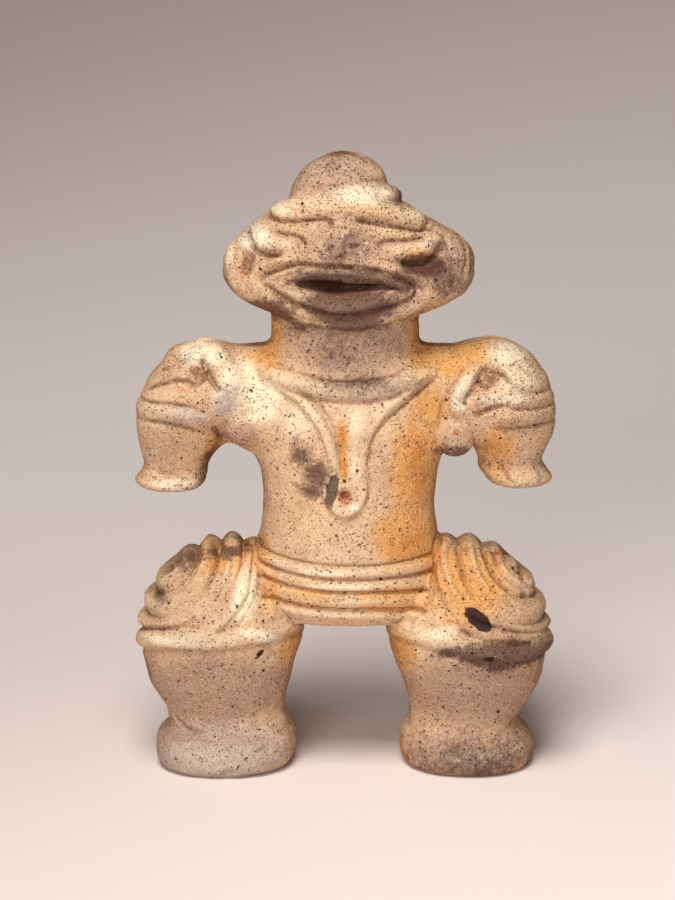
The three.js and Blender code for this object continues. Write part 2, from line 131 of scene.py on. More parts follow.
# Marks pressed into the clay or laid on it. Each is a line of places x, z seen from the front, then its
# height in the middle (below 0 for a groove), its half width, and how much of each end tapers off.
FACE_MARKS = [
    # the band over the brows, and the deep line under it that turns down beside the nose
    ([(-31, 226.2), (-22, 229.0), (-8, 230.4), (8, 229.2), (20, 226.6), (33, 222.8)], 2.8, 5.2, 0.1),
    ([(-31.5, 227), (-29.5, 225), (-23.6, 224.2), (-17.8, 224.5), (-8, 225.4), (-5.9, 224), (-5.2, 220.4)],
     -2.4, 1.0, 0.1),
    ([(2.4, 224.8), (9.4, 224), (15.2, 223), (25.8, 221.1), (30, 220.8), (33.4, 223.4)], -2.4, 1.1, 0.12),
    ([(5.5, 230.9), (13.4, 229.9), (22, 227.4)], -0.6, 0.8, 0.3),
    ([(-20, 233.6), (-10, 232.6), (2, 232.8), (10, 231.6)], -0.7, 1.2, 0.3),
    ([(6, 239.6), (12, 238.8), (16, 238)], -0.9, 1.0, 0.3),
    # the nose
    ([(-0.8, 223.5), (-0.4, 216), (0.6, 209.0)], 1.9, 5.6, 0.3),
    ([(1.4, 214.6), (3.2, 214.2), (4.8, 215)], -1.5, 0.9, 0.1),
    ([(-2.8, 211.4), (-1, 210.4), (0.4, 210)], -1.3, 0.9, 0.1),
    ([(0.6, 218.4), (3, 218)], -0.8, 0.8, 0.0),
    ([(-5, 217), (-6.8, 212.5), (-9.5, 209.8)], -0.8, 1.5, 0.3),
    ([(8.5, 215), (9.4, 211.6), (6.7, 208.8)], -0.8, 1.4, 0.3),
    # the left eye: a fat lid that runs down from the temple, between two lines
    ([(-37.4, 219.4), (-33.6, 217.6), (-28.5, 215.8), (-22, 214.4), (-17, 213.2)], 2.2, 4.6, 0.25),
    ([(-28.5, 220.6), (-25.6, 219.1), (-21.6, 218.7), (-18.4, 218.0), (-16.0, 216.4), (-15.0, 213.6)],
     -1.7, 0.9, 0.15),
    ([(-39.2, 221), (-38, 217.6), (-36.4, 214.2), (-34.6, 212.2), (-32, 211.2), (-28, 211), (-23, 212)],
     -2.3, 1.1, 0.18),
    # the right eye
    ([(14.5, 211.7), (22, 212.8), (30, 213.6), (37.5, 217.4)], 2.5, 3.9, 0.12),
    ([(10.8, 213.6), (13, 215.6), (17, 216.7), (23, 216.5), (28, 217.2), (32, 218)], -1.6, 0.9, 0.2),
    ([(21.4, 208.4), (24, 208.3), (28.8, 208.0), (32, 208.7), (34.6, 210.7), (37.4, 214.4)],
     -3.0, 1.25, 0.12),
    ([(22, 205.6), (28.5, 204.2), (36, 206.4), (40, 210)], -1.9, 3.4, 0.25),
    # the hollow before the left ear, and the rims of both ears
    ([(-36.8, 212), (-38.8, 207.4), (-39.6, 201.8)], -2.6, 2.6, 0.25),
    ([(-44, 217), (-46.2, 208), (-44.5, 200), (-40, 195.5)], 1.0, 3.2, 0.3),
    ([(43, 214), (46.5, 207.5), (46, 200), (41, 195)], 0.8, 3.6, 0.3),
    ([(44, 219), (46.6, 214), (47.4, 209), (45.4, 201.4)], -1.5, 1.2, 0.2),
    ([(35, 197.4), (39, 195.4), (43, 195.6)], -0.8, 1.6, 0.3),
    # creases at the right temple
    ([(30, 221.6), (33, 220.2), (35.4, 221)], -1.4, 0.9, 0.2),
    ([(26, 224.2), (32, 221.4), (38, 217.4), (41, 212)], -0.8, 0.9, 0.3),
    # the cheek ridges that sweep up to the nose
    ([(-38, 203.4), (-31, 207.2), (-25.5, 209.0), (-17, 209.9)], 1.2, 2.0, 0.2),
    ([(34, 200.5), (24, 204.6), (14, 207.8)], 0.8, 2.0, 0.25),
    # scratches over the crown
    ([(-19, 240.5), (-10, 241.4)], -0.5, 0.5, 0.2),
    ([(-16, 236.4), (-3, 237.2)], -0.5, 0.5, 0.2),
    ([(-4, 243.5), (4, 243)], -0.5, 0.5, 0.2),
]
MOUTH_MARKS = [
    # the frame round the mouth, pointed at both sides
    ([(-36.4, 200.4), (-32.6, 202.6), (-25.5, 205.8), (-18, 207.9), (-8, 207.3), (2, 206.7), (12, 205.6),
      (19.1, 203.0), (27, 199.4), (33, 196.8)], -2.2, 1.0, 0.1),
    ([(-32.8, 200.8), (-27, 203.3), (-19.7, 205.2), (-9, 205.0), (2, 204.5), (11, 203.4), (19, 200.9),
      (26, 198)], 1.3, 1.7, 0.1),
    ([(-34, 200.6), (-29.4, 198.3), (-25.5, 195.9), (-21.6, 193.7), (-14, 190.8), (-7, 188.8), (0, 188.4),
      (8, 189.0), (17, 191.2), (25.7, 194.4), (27, 197.6), (23, 199.8)], -1.9, 1.0, 0.1),
    ([(-36.5, 198.2), (-28, 193.4), (-19, 188.4), (-10, 185.2), (0, 184.4), (11, 185.4), (22, 188.8),
      (34, 194.4)], 1.5, 2.4, 0.12),
    ([(-30, 190.6), (-19.8, 185.4), (-10, 182.0), (0, 181.2), (9, 181.8), (19.3, 184.0), (30, 188.6)],
     -0.9, 0.9, 0.2),
    ([(-24, 190.2), (-13, 186.6), (-2, 185.6)], -0.6, 0.6, 0.2),
    # the lips and the dark line in the upper one
    ([(-19, 200.6), (-12, 201.8), (-4, 201.2), (3, 200.2), (10, 200.4), (18, 201.2)], -1.5, 0.8, 0.15),
    ([(-8, 187.6), (-2, 190.6), (5, 189.2)], 1.0, 3.4, 0.3),
    ([(-27, 200.2), (-19, 203.0), (-9, 204.0), (0, 203.8), (10, 202.6), (18.4, 200.8)], 1.1, 1.5, 0.12),
    ([(-25.6, 199.0), (-19, 196.0), (-11.9, 192.8), (-0.9, 191.4), (10.2, 193.0), (20.4, 196.4)],
     1.8, 2.4, 0.12),
    ([(14, 200.2), (20, 199.6), (25, 197.8)], 0.9, 1.2, 0.2),
]
CHEST_MARKS = [
    # the collar
    ([(-38, 167.6), (-29, 163.6), (-21, 160.8), (-12, 158.4), (-2, 157.4), (8, 157.4), (16, 158.6),
      (24, 161.2), (33, 165.6)], 1.9, 3.7, 0.1),
    ([(-31, 168.6), (-24.6, 165.9), (-17.9, 164.1), (-10.1, 162.0), (-2.2, 161.0), (5.6, 161.0),
      (13.5, 161.9), (19.4, 163.3), (25, 165.6)], -1.3, 0.8, 0.2),
    ([(-29.8, 161.0), (-21.9, 157.5), (-14.0, 155.3), (-6.1, 153.9), (1.7, 153.4), (7.6, 153.4),
      (15.4, 154.3), (21.3, 156.2), (29.3, 160.6)], -1.1, 0.8, 0.2),
    # the roll down the panel's left side, between its edge and a groove
    ([(-33, 164.4), (-24.5, 159), (-17.6, 153.6), (-12.0, 147.2), (-8.0, 140.6), (-5.6, 133), (-4.8, 124)],
     1.1, 2.6, 0.2),
    ([(-34.6, 161.2), (-29.8, 158.9), (-23.8, 155.7), (-19.1, 152.2), (-14.8, 147.2), (-10.9, 141.8),
      (-8.9, 136.5), (-7.6, 131.4), (-7.8, 124)], -0.9, 0.9, 0.2),
    ([(-21, 159), (-13.9, 155.0), (-9.4, 150.4), (-6.4, 145.0), (-3.9, 139.7), (-2.0, 133.8),
      (-1.0, 127.5), (-0.8, 121.0)], -1.7, 1.15, 0.12),
    ([(-3.6, 145), (-1.8, 138), (-0.9, 130)], -1.0, 2.2, 0.3),
    # the panel's right edge
    ([(36.5, 162.2), (29.3, 157.0), (23.3, 152.2), (17.4, 147.6), (12.9, 142.8), (10.6, 138.2),
      (9.2, 132.6), (8.6, 126)], -1.5, 0.8, 0.12),
    ([(35, 164.6), (27.5, 159.4), (21, 154.6), (15, 149.6), (10.8, 144.2)], 0.9, 1.8, 0.2),
    # the boss round the navel
    ([(-7.6, 126), (-8.2, 117), (-6.2, 111.6), (-2, 109.4), (3, 109.8), (6.6, 112.8), (7.2, 121)],
     0.8, 2.2, 0.2),
    ([(-9.6, 124), (-9.9, 116.4), (-7.4, 110.8), (-3.2, 108.0), (1.7, 107.2), (6.2, 110.2), (8.9, 115),
      (9.2, 122)], -1.0, 0.9, 0.15),
    # dents
    ([(-3.4, 150.6), (-2.6, 149.4), (-3.6, 148.8)], -0.9, 0.8, 0.0),
    ([(-20.2, 119.6), (-19.4, 119.2)], -1.4, 1.0, 0.0),
    ([(9.5, 133.4), (12.5, 133.2)], -0.7, 0.8, 0.2),
]
ARM_MARKS = [
    # the straps from the shoulders to the breasts
    ([(-60, 174.4), (-54.6, 173.6), (-49.8, 169.4), (-46.4, 163.4), (-43.0, 156.4), (-40, 147)],
     1.9, 6.2, 0.08),
    ([(51.5, 168.5), (48.2, 162.4), (44.6, 155.5), (42.4, 146.5)], 1.6, 3.6, 0.15),
    ([(48.2, 170.0), (45.2, 164.4), (42.3, 159.3), (39.6, 154.4), (37.8, 148.5), (37.0, 140.5)],
     -0.8, 1.0, 0.2),
    # the hollows on the shoulders, sharp on the side of the strap
    ([(-57.2, 170.4), (-55.3, 167.6), (-53.3, 163.5), (-50.9, 159.8), (-48.4, 156.4)], -2.9, 1.2, 0.1),
    ([(-57.8, 167.4), (-58.6, 163.5), (-56.4, 159.6)], -2.0, 3.4, 0.2),
    ([(55.8, 168.0), (52.2, 162.5), (49.0, 157.8), (46.4, 153.7), (46.0, 149.6)], -2.2, 1.2, 0.12),
    ([(60, 167), (57.4, 162.4), (53, 157.4)], -1.7, 4.2, 0.2),
    ([(58.6, 166.8), (62, 163.6), (66.5, 160)], -0.9, 1.2, 0.3),
    # creases on the upper arms
    ([(-80.0, 155.6), (-75.3, 158.6), (-71.2, 160.2), (-66.5, 161.6), (-62, 161.4), (-57, 159.4)],
     -1.7, 0.9, 0.15),
    ([(-74.4, 163.6), (-71, 165.2), (-67.6, 166.5)], -0.9, 0.8, 0.2),
    ([(-70, 168.8), (-65, 168.4), (-61.5, 169.6)], -0.6, 1.0, 0.3),
    ([(59.5, 166.4), (64.5, 161.7), (67.7, 158.6), (72.6, 156.5), (83, 155.4)], -1.1, 1.0, 0.2),
    ([(67, 168.4), (72.5, 163.8), (79, 160.6)], -0.8, 1.1, 0.3),
    ([(50, 152.4), (54, 155.0), (60, 156.8), (67, 156.2)], 1.1, 2.6, 0.25),
    # the lump and the folds on the right cuff
    ([(68, 119.4), (73, 121.6), (78, 119.8)], 1.1, 4.6, 0.25),
    ([(61.2, 127.6), (62.6, 124.6), (64.8, 121), (67, 117.6)], -1.1, 1.0, 0.2),
    # the groove between the left band's end and the breast
    ([(-52.5, 143), (-50.6, 139.6), (-48.2, 135.8)], -1.8, 1.1, 0.15),
    ([(50.0, 146.4), (54.6, 149.3), (58.6, 150.8), (63, 152.2)], -2.0, 1.1, 0.15),
]
# The bands on the arms run right round them.
ARM_BANDS = [
    ([(-86, 152), (-77.3, 152.0), (-73.1, 152.2), (-69.1, 152.2), (-61.1, 151.1), (-54.5, 149.4)],
     -1.5, 0.85, 0.3),
    ([(-86, 144.2), (-77.4, 144.5), (-73.2, 144.4), (-68.4, 143.6), (-59.4, 141.4), (-51.8, 137.6)],
     -1.5, 0.9, 0.3),
    ([(-86, 148.2), (-77.5, 148.2), (-73, 148.3), (-68.6, 147.9), (-60, 146.4), (-52.4, 143.8)],
     0.9, 3.4, 0.4),
    ([(86, 150.2), (79, 149.9), (72.6, 149.9), (66.6, 150.2), (60.8, 151.4)], -1.1, 0.8, 0.3),
    ([(86, 143.9), (81.2, 143.4), (74.8, 142.7), (66.8, 141.9), (61, 141.8), (55, 141.4)], -1.3, 0.85, 0.3),
    ([(86, 147), (80, 146.6), (73, 146.2), (66.6, 146), (58.6, 146.6), (52.6, 145)], 0.8, 2.8, 0.4),
    ([(86, 153), (80, 152.8), (72.6, 153.1), (66.4, 153.9), (58.4, 154.6)], 0.7, 2.2, 0.4),
    # the lip and the fold of the left cuff
    ([(-86, 119.4), (-82, 118.4), (-74, 117.6), (-64, 117.6), (-57, 119)], 0.7, 2.4, 0.3),
    ([(-79, 123.8), (-74, 123.2), (-68, 122.4), (-61, 122.4)], -0.8, 1.1, 0.3),
]
LEG_MARKS = [
    # the left thigh: a long roll from the waist that ends as the outer half of the knee roll
    ([(-40.4, 94), (-41.4, 84), (-42.4, 77), (-45.6, 70.4), (-51.2, 64.4), (-59, 60.4), (-70, 58.2)],
     1.5, 3.8, 0.1),
    ([(-37.2, 88), (-37.4, 80.8), (-38.8, 76), (-40.7, 72.4), (-43.4, 69.0), (-47.2, 65.0), (-52, 61.2)],
     -1.2, 1.1, 0.15),
    ([(-86, 57.4), (-83, 57.9), (-78.3, 60.3), (-71.8, 62.4), (-65.7, 64.1), (-61, 65.8)], -1.5, 1.0, 0.15),
    ([(-48.4, 80.5), (-50, 76), (-53.4, 73.4)], -1.0, 0.6, 0.3),
    ([(-34.9, 79.4), (-32.9, 76.6), (-30.2, 74.8)], -1.4, 1.0, 0.2),
    # the smooth wedges between belt and knee rolls
    ([(-30, 70), (-33, 66.5), (-36.5, 64)], 0.9, 4.5, 0.3),
    ([(29, 69), (34, 64.5), (42, 60.5)], 0.6, 4.5, 0.3),
    # the right thigh
    ([(21.9, 60.5), (27.7, 64.8), (31.6, 69.6), (34.6, 75.6), (35.8, 82.2), (35.4, 90)], -1.2, 1.0, 0.15),
    ([(48.5, 70), (52.4, 66.8), (57.1, 65.0), (61.2, 63.6), (65.2, 62.2), (73.5, 59.9), (86, 57.6)],
     -1.8, 1.0, 0.12),
    ([(42.4, 65), (46, 62.6), (52, 59.6)], -0.9, 1.3, 0.3),
    ([(57.5, 87.6), (60.0, 82.9), (63.5, 79.3), (67.5, 75.4)], -1.1, 0.9, 0.2),
    ([(59.6, 88.4), (62.4, 87)], -1.8, 1.7, 0.1),
    ([(69.6, 83), (71.4, 80), (71.8, 76.6)], -1.4, 1.4, 0.2),
    ([(70.0, 74.6), (73.4, 74.4)], -1.0, 1.5, 0.2),
    # the creases over the feet
    ([(-72, 24), (-66.2, 19.1), (-62.9, 17.4), (-56, 16.4)], -1.4, 1.1, 0.25),
    ([(-29, 14), (-33, 11.8), (-37, 11)], -0.8, 0.9, 0.3),
    ([(71, 22), (67, 18), (61, 16.2)], -0.9, 1.2, 0.3),
    # toes and the edges of the feet
    ([(-62, 9.5), (-52, 7.5), (-42, 8.2), (-30, 11)], -0.5, 1.8, 0.3),
    ([(-50, 1.5), (-47.5, 3.4), (-44.5, 2.0)], -1.3, 1.4, 0.2),
    ([(30, 11), (42, 8.6), (54, 8.8), (66, 12)], -0.3, 2.2, 0.3),
]

# The belt: the heights of its grooves in the middle, at its left end and at its right end.
BELT_GROOVES = [
    (61.0, 65.5, 60), (70.3, 75.0, 69.0), (77.6, 82.0, 76.5), (82.7, 87.2, 83.9), (88.1, 92.6, 90.4),
]
BELT_HALF_WIDTH = 35.5
BELT_BOW = 2.1
BELT_RISE = 1.7
BELT_SINK = 1.3
BELT_GROOVE_WIDTH = 0.75

# The thighs are wound with rolls. Each roll keeps its own distance from a pole on the outer side.
THIGH_POLES = [
    {"side": -1, "pole": (-71.5, -1.4, 84.5), "first": 8.0, "pitch": 9.3, "rise": 3.6, "fine": 0.3},
    {"side": 1, "pole": (69, -1.4, 84.5), "first": 9.6, "pitch": 10.2, "rise": 2.8, "fine": 0.55},
]
ROLL_COUNT = 3.42
ROLL_FLAT = 5
ROLL_DEPTH = 0.7
FINE_PITCH = 3.3

# The roll over each calf: its height along x in front, its height behind, and its section.
LEFT_KNEE = [
    (-84, 52.5), (-78, 55.8), (-70, 57.8), (-62, 58.6), (-54, 58.2), (-46, 59.0), (-38, 60.2), (-22, 61),
]
RIGHT_KNEE = [
    (22, 59.6), (30, 59.4), (38.6, 58.1), (49, 55.6), (58, 53.3), (67, 51.8), (76, 52.2), (84, 52.4),
]
KNEE_BEHIND = 50
KNEE_CLIMB = 7
KNEE_RISE = 2.1
KNEE_ABOVE = 4.6
KNEE_BELOW = 3.9
KNEE_CREASE = 0.4

# The raised panel on the chest: its left and right edge, as heights and places along x.
PANEL_LEFT = [
    (105, 0), (108, -3), (112, -7), (117, -9.4), (124, -9.2), (131, -7.4), (137, -8.6), (142, -10.6),
    (148, -14.6), (153, -19), (160, -33),
]
PANEL_RIGHT = [
    (105, 0), (108, 2), (112, 6.4), (117, 8.6), (124, 8.6), (131, 9), (138, 10.4), (143, 12.8),
    (148, 17.4), (152, 23), (157, 29), (162, 36),
]
PANEL_RISE = 1.1
PANEL_EDGE = 0.9

# The lowest and highest place of each part of the relief.
BELT_ZONE = (57, 96)
THIGH_ZONE = (52, 104)
KNEE_ZONE = (38, 75)
PANEL_ZONE = (103, 165)

# The unevenness of a surface smoothed by hand: height, size and the number that the draw starts from.
UNEVENNESS = [(0.32, 17, 31), (0.2, 7, 32), (0.11, 3.1, 33), (0.06, 1.5, 34)]
NOISE_CELLS = 32
NOISE_START = 7.3

# How far a groove's slopes reach, in half widths.
GROOVE_REACH = 2.6

GRID = 1.05
MOST_TRIANGLES = 196000


def monotone(heights, values):
    """A smooth curve through the values that never swings past them."""
    steps = np.diff(heights)
    slopes = np.diff(values) / steps
    tangents = np.zeros(len(heights))
    inner = slopes[:-1] * slopes[1:] > 0
    before = 2 * steps[1:] + steps[:-1]
    after = steps[1:] + 2 * steps[:-1]
    with np.errstate(divide="ignore", invalid="ignore"):
        mean = (before + after) / (before / slopes[:-1] + after / slopes[1:])
    tangents[1:-1] = np.where(inner, mean, 0)
    tangents[0] = slopes[0]
    tangents[-1] = slopes[-1]

    def curve(z):
        z = np.clip(z, heights[0], heights[-1])
        i = np.clip(np.searchsorted(heights, z, side="right") - 1, 0, len(heights) - 2)
        t = (z - heights[i]) / steps[i]
        return (
            (1 + 2 * t) * (1 - t) ** 2 * values[i]
            + t * (1 - t) ** 2 * steps[i] * tangents[i]
            + t * t * (3 - 2 * t) * values[i + 1]
            + t * t * (t - 1) * steps[i] * tangents[i + 1]
        )

    return curve


def lofted(rows, squareness):
    """The distance to a body through its levels, as a function of x, y, z."""
    z, left, right, front, back = np.array(rows, float).T
    middle_x = monotone(z, (left + right) / 2)
    middle_y = monotone(z, (front + back) / 2)
    width_squared = monotone(z, ((right - left) / 2) ** 2)
    depth_squared = monotone(z, ((back - front) / 2) ** 2)

    def distance(x, y, height):
        width = np.sqrt(width_squared(height))
        depth = np.sqrt(depth_squared(height))
        across = np.abs((x - middle_x(height)) / width) ** squareness
        along = np.abs((y - middle_y(height)) / depth) ** squareness
        side = np.minimum(width, depth) * ((across + along) ** (1 / squareness) - 1)
        return np.maximum(side, np.maximum(z[0] - height, height - z[-1]))

    def near_distance(x, y, height):
        """The same for a list of points, worked out only near the body."""
        result = np.full(len(x), float(FAR))
        margin = 2 * BODY_BLEND
        near = (height > z[0] - margin) & (height < z[-1] + margin)
        near &= (x > left.min() - margin) & (x < right.max() + margin)
        result[near] = distance(x[near], y[near], height[near])
        return result

    return lambda x, y, height: (near_distance if np.ndim(height) == 1 else distance)(x, y, height)


def joined(a, b, softness):
    """Two distances joined like clay, with a soft crease between them."""
    overlap = np.maximum(softness - np.abs(a - b), 0) / softness
    return np.minimum(a, b) - overlap**3 * softness / 6


def egg(x, y, z, middle, half_sizes, turn):
    """The distance to an egg, turned clockwise as seen from the front."""
    cos, sin = math.cos(math.radians(turn)), math.sin(math.radians(turn))
    dx, dz = x - middle[0], z - middle[2]
    across = (dx * cos - dz * sin) / half_sizes[0]
    along = (y - middle[1]) / half_sizes[1]
    up = (dx * sin + dz * cos) / half_sizes[2]
    return min(half_sizes) * (np.sqrt(across**2 + along**2 + up**2) - 1)


LOFTS = [lofted(rows, squareness) for rows, squareness in BODIES]


def bare_skin(x, y, z):
    """The distance to the body without knobs and hollows."""
    distance = LOFTS[0](x, y, z)
    for loft in LOFTS[1:]:
        distance = joined(distance, loft(x, y, z), BODY_BLEND)
    return distance


def on_skin(places, back=False):
    """Points on the front of the bare body, or on its back, at places x, z seen from the front."""
    x, z = np.array(places, float).T
    depths = np.arange(-DEEPEST, 1, DEPTH_STEP)
    if back:
        depths = -depths
    values = bare_skin(x[:, None], depths[None, :], z[:, None])
    hit = values < 0
    first = np.where(hit.any(1), hit.argmax(1), values.argmin(1))
    before = np.maximum(first - 1, 0)
    row = np.arange(len(x))
    near, far = values[row, before], values[row, first]
    share = np.where(hit.any(1) & (near > far), near / np.maximum(near - far, 1e-6), 1)
    y = depths[before] + (depths[first] - depths[before]) * np.clip(share, 0, 1)
    return np.stack([x, y, z], 1)


def placed_eggs(rows):
    """Each egg's middle on the skin, half sizes, turn and softness."""
    placed = []
    for x, z, behind, *half_sizes, turn, softness in rows:
        middle = on_skin([(x, z)])[0] + (0, behind, 0)
        placed.append((middle, half_sizes, turn, softness))
    return placed


PLACED_KNOBS = placed_eggs(KNOBS)
PLACED_HOLLOWS = placed_eggs(HOLLOWS)


def skin(x, y, z):
    """The distance to the whole body, with its knobs and hollows."""
    distance = bare_skin(x, y, z)
    for middle, half_sizes, turn, softness in PLACED_KNOBS:
        distance = joined(distance, egg(x, y, z, middle, half_sizes, turn), softness)
    for middle, half_sizes, turn, softness in PLACED_HOLLOWS:
        distance = -joined(-distance, egg(x, y, z, middle, half_sizes, turn), softness)
    return distance


def skin_at(points):
    return skin(points[:, 0], points[:, 1], points[:, 2])


def slope_at(points, step=0.35):
    """How the distance to the skin changes along x, y, z."""
    columns = []
    for axis in range(3):
        offset = np.zeros(3)
        offset[axis] = step
        columns.append((skin_at(points + offset) - skin_at(points - offset)) / (2 * step))
    return np.stack(columns, 1)


def pulled_to_skin(points, rounds=2, longest=0.8):
    """The points moved onto the skin, with the skin's outward direction at each."""
    slope = slope_at(points)
    steepness = np.maximum((slope**2).sum(1), 0.05)
    for _ in range(rounds):
        move = -slope * (skin_at(points) / steepness)[:, None]
        length = np.linalg.norm(move, axis=1, keepdims=True)
        points = points + move * np.minimum(1, longest / np.maximum(length, TINY))
    slope = slope_at(points)
    return points, slope / np.maximum(np.linalg.norm(slope, axis=1, keepdims=True), TINY)


def soft_noise(points, size, seed):
    """Smooth noise between -1 and 1 that changes over about the given size."""
    lattice = np.random.default_rng(seed).uniform(-1, 1, (NOISE_CELLS, NOISE_CELLS, NOISE_CELLS))
    cells = points / size + NOISE_START
    low = np.floor(cells).astype(int)
    share = cells - low
    share = share * share * (3 - 2 * share)
    value = np.zeros(len(points))
    for corner in range(8):
        steps = np.array([corner & 1, corner >> 1 & 1, corner >> 2 & 1])
        weight = np.where(steps, share, 1 - share).prod(1)
        i, j, k = ((low + steps) % NOISE_CELLS).T
        value += weight * lattice[i, j, k]
    return value


def smooth_line(places, step=1.2):
    """Places along a smooth curve through the given ones, about a step apart."""
    places = np.array(places, float)
    ends = [2 * places[0] - places[1], *places, 2 * places[-1] - places[-2]]
    line = []
    for a, b, c, d in zip(ends, ends[1:], ends[2:], ends[3:]):
        pieces = max(int(np.linalg.norm(c - b) / step), 1)
        for t in np.arange(pieces) / pieces:
            square = (2 * a - 5 * b + 4 * c - d) * t**2
            cube = (3 * b - a - 3 * c + d) * t**3
            line.append((2 * b + (c - a) * t + square + cube) / 2)
    line.append(places[-1])
    return np.array(line)


def near_line(points, line):
    """Each point's distance from a line of points, and how far along the line it is, from 0 to 1."""
    best = np.full(len(points), 1e9)
    along = np.zeros(len(points))
    pieces = len(line) - 1
    for i in range(pieces):
        a, ab = line[i], line[i + 1] - line[i]
        t = np.clip((points - a) @ ab / max(ab @ ab, TINY), 0, 1)
        distance = np.linalg.norm(points - a - t[:, None] * ab, axis=1)
        nearer = distance < best
        best = np.where(nearer, distance, best)
        along = np.where(nearer, (i + t) / pieces, along)
    return best, along


def smoothstep(value, low, high):
    t = np.clip((value - low) / (high - low), 0, 1)
    return t * t * (3 - 2 * t)


def mark_height(points, line, height, half_width, taper):
    """The height that one mark gives the skin at each point."""
    reach = half_width * (GROOVE_REACH if height < 0 else 1)
    low, high = line.min(0) - reach, line.max(0) + reach
    close = np.flatnonzero(((points > low) & (points < high)).all(1))
    result = np.zeros(len(points))
    if not len(close):
        return result
    distance, along = near_line(points[close], line)
    if taper > 0:
        ends = np.minimum(along, 1 - along) / taper
        strength = smoothstep(ends, -0.15, 1)
    else:
        strength = 1
    if height < 0:
        profile = np.exp(-((distance / half_width) ** 2))
    else:
        profile = np.maximum(1 - (distance / half_width) ** 2, 0) ** 1.1
    result[close] = height * strength * profile
    return result


def all_marks():
    """Every mark's line on the skin, height, half width and taper."""
    marks = []
    for group in (FACE_MARKS, MOUTH_MARKS, CHEST_MARKS, ARM_MARKS, LEG_MARKS):
        for places, height, half_width, taper in group:
            marks.append((on_skin(smooth_line(places)), height, half_width, taper))
    for places, height, half_width, taper in ARM_BANDS:
        for back in (False, True):
            marks.append((on_skin(smooth_line(places), back), height, half_width, taper))
    return marks


def belt_height(points):
    """The belt's bands and grooves."""
    x, y, z = points.T
    out = np.clip(x / BELT_HALF_WIDTH, -1, 1)
    grooves = []
    for middle, left, right in BELT_GROOVES:
        end = np.where(out < 0, left, right)
        grooves.append(middle + (end - middle) * np.abs(out) ** BELT_BOW + 0.35 * soft_noise(points, 14, 5))
    height = np.zeros(len(points))
    for low, high in zip(grooves, grooves[1:]):
        t = (z - low) / (high - low)
        inside = (t >= 0) & (t <= 1)
        height += np.where(inside, BELT_RISE * (1 - np.abs(2 * t - 1) ** 3), 0)
    for groove in grooves[1:]:
        height -= BELT_SINK * np.exp(-(((z - groove) / BELT_GROOVE_WIDTH) ** 2))
    height += 1.0 * np.exp(-(((z - grooves[1] + 2.2) / 1.4) ** 2))
    beyond = np.abs(x) + 0.28 * np.maximum(80 - z, 0)
    return height * (1 - smoothstep(beyond, BELT_HALF_WIDTH - 2.5, BELT_HALF_WIDTH + 0.8))


def thigh_height(points, side, pole, first, pitch, rise, fine):
    """The rolls round one thigh, worn down in front."""
    x, y, z = points.T
    from_pole = points - np.array(pole)
    from_pole[:, 1] = ROLL_DEPTH * np.maximum(np.abs(from_pole[:, 1]) - ROLL_FLAT, 0)
    distance = np.linalg.norm(from_pole, axis=1)
    distance = distance + 0.6 * soft_noise(points, 13, 11) + 0.25 * soft_noise(points, 5, 12)
    turns = (distance - first) / pitch
    t = 2 * np.abs(turns - np.round(turns))
    rolls = rise * (1 - t**1.7) - 0.45 * rise
    worn = np.exp(-(((x - side * 60) / 17) ** 2 + ((z - 71) / 12) ** 2)) * smoothstep(-y, 12, 25)
    lines = fine * np.cos(2 * math.pi * distance / FINE_PITCH)
    lines = lines * smoothstep(z, 70, 80) * smoothstep(-y, 2, 14)
    knee = knee_line(x, y)
    here = smoothstep(z, knee + 3, knee + 7) * smoothstep(side * x, 33, 38)
    here = here * (distance < first + ROLL_COUNT * pitch) * (1 - smoothstep(z, 94, 98))
    return here * (rolls * (1 - 0.85 * worn) + lines)


def knee_line(x, y):
    """The height of the knee roll's middle."""
    in_front = np.where(x < 0, np.interp(x, *np.array(LEFT_KNEE).T), np.interp(x, *np.array(RIGHT_KNEE).T))
    inward = 1 - np.abs(x) / 86
    behind = KNEE_BEHIND + KNEE_CLIMB * inward**2
    return behind + (in_front - behind) * smoothstep(-y, -8, 11)


def knee_height(points):
    """The roll over each calf, with the creases above and below it."""
    x, y, z = points.T
    up = z + 0.5 * soft_noise(points, 11, 21) - knee_line(x, y)
    half = np.where(up > 0, KNEE_ABOVE, KNEE_BELOW)
    roll = KNEE_RISE * np.maximum(1 - (up / half) ** 2, 0)
    crease = -0.7 * np.exp(-(((up - KNEE_ABOVE - KNEE_CREASE) / 1.0) ** 2)) * smoothstep(np.abs(x), 44, 62)
    crease = crease - 0.8 * np.exp(-(((up + KNEE_BELOW + KNEE_CREASE) / 1.5) ** 2))
    return (roll + crease) * smoothstep(np.abs(x), 16, 21)


def panel_height(points):
    """The raised panel on the chest, which narrows from the collar to the navel's boss."""
    x, y, z = points.T
    left = np.interp(z, *np.array(PANEL_LEFT).T)
    right = np.interp(z, *np.array(PANEL_RIGHT).T)
    inside = np.minimum(x - left, right - x)
    rise = PANEL_RISE * smoothstep(inside, -PANEL_EDGE, PANEL_EDGE)
    return rise * smoothstep(-y, 5, 15) * smoothstep(z, 104, 108)


def relief(points):
    """Everything that the hand pressed into the skin or laid on it."""
    x, y, z = points.T
    height = np.zeros(len(points))

    def within(low, high):
        return (z > low) & (z < high)

    def add(here, part, **settings):
        height[here] += part(points[here], **settings)

    add(within(*BELT_ZONE) & (np.abs(x) < 42), belt_height)
    for thigh in THIGH_POLES:
        add(within(*THIGH_ZONE) & (thigh["side"] * x > 28), thigh_height, **thigh)
    add(within(*KNEE_ZONE), knee_height)
    add(within(*PANEL_ZONE) & (np.abs(x) < 40) & (y < 0), panel_height)
    for line, size, half_width, taper in MARKS:
        height += mark_height(points, line, size, half_width, taper)
    return height


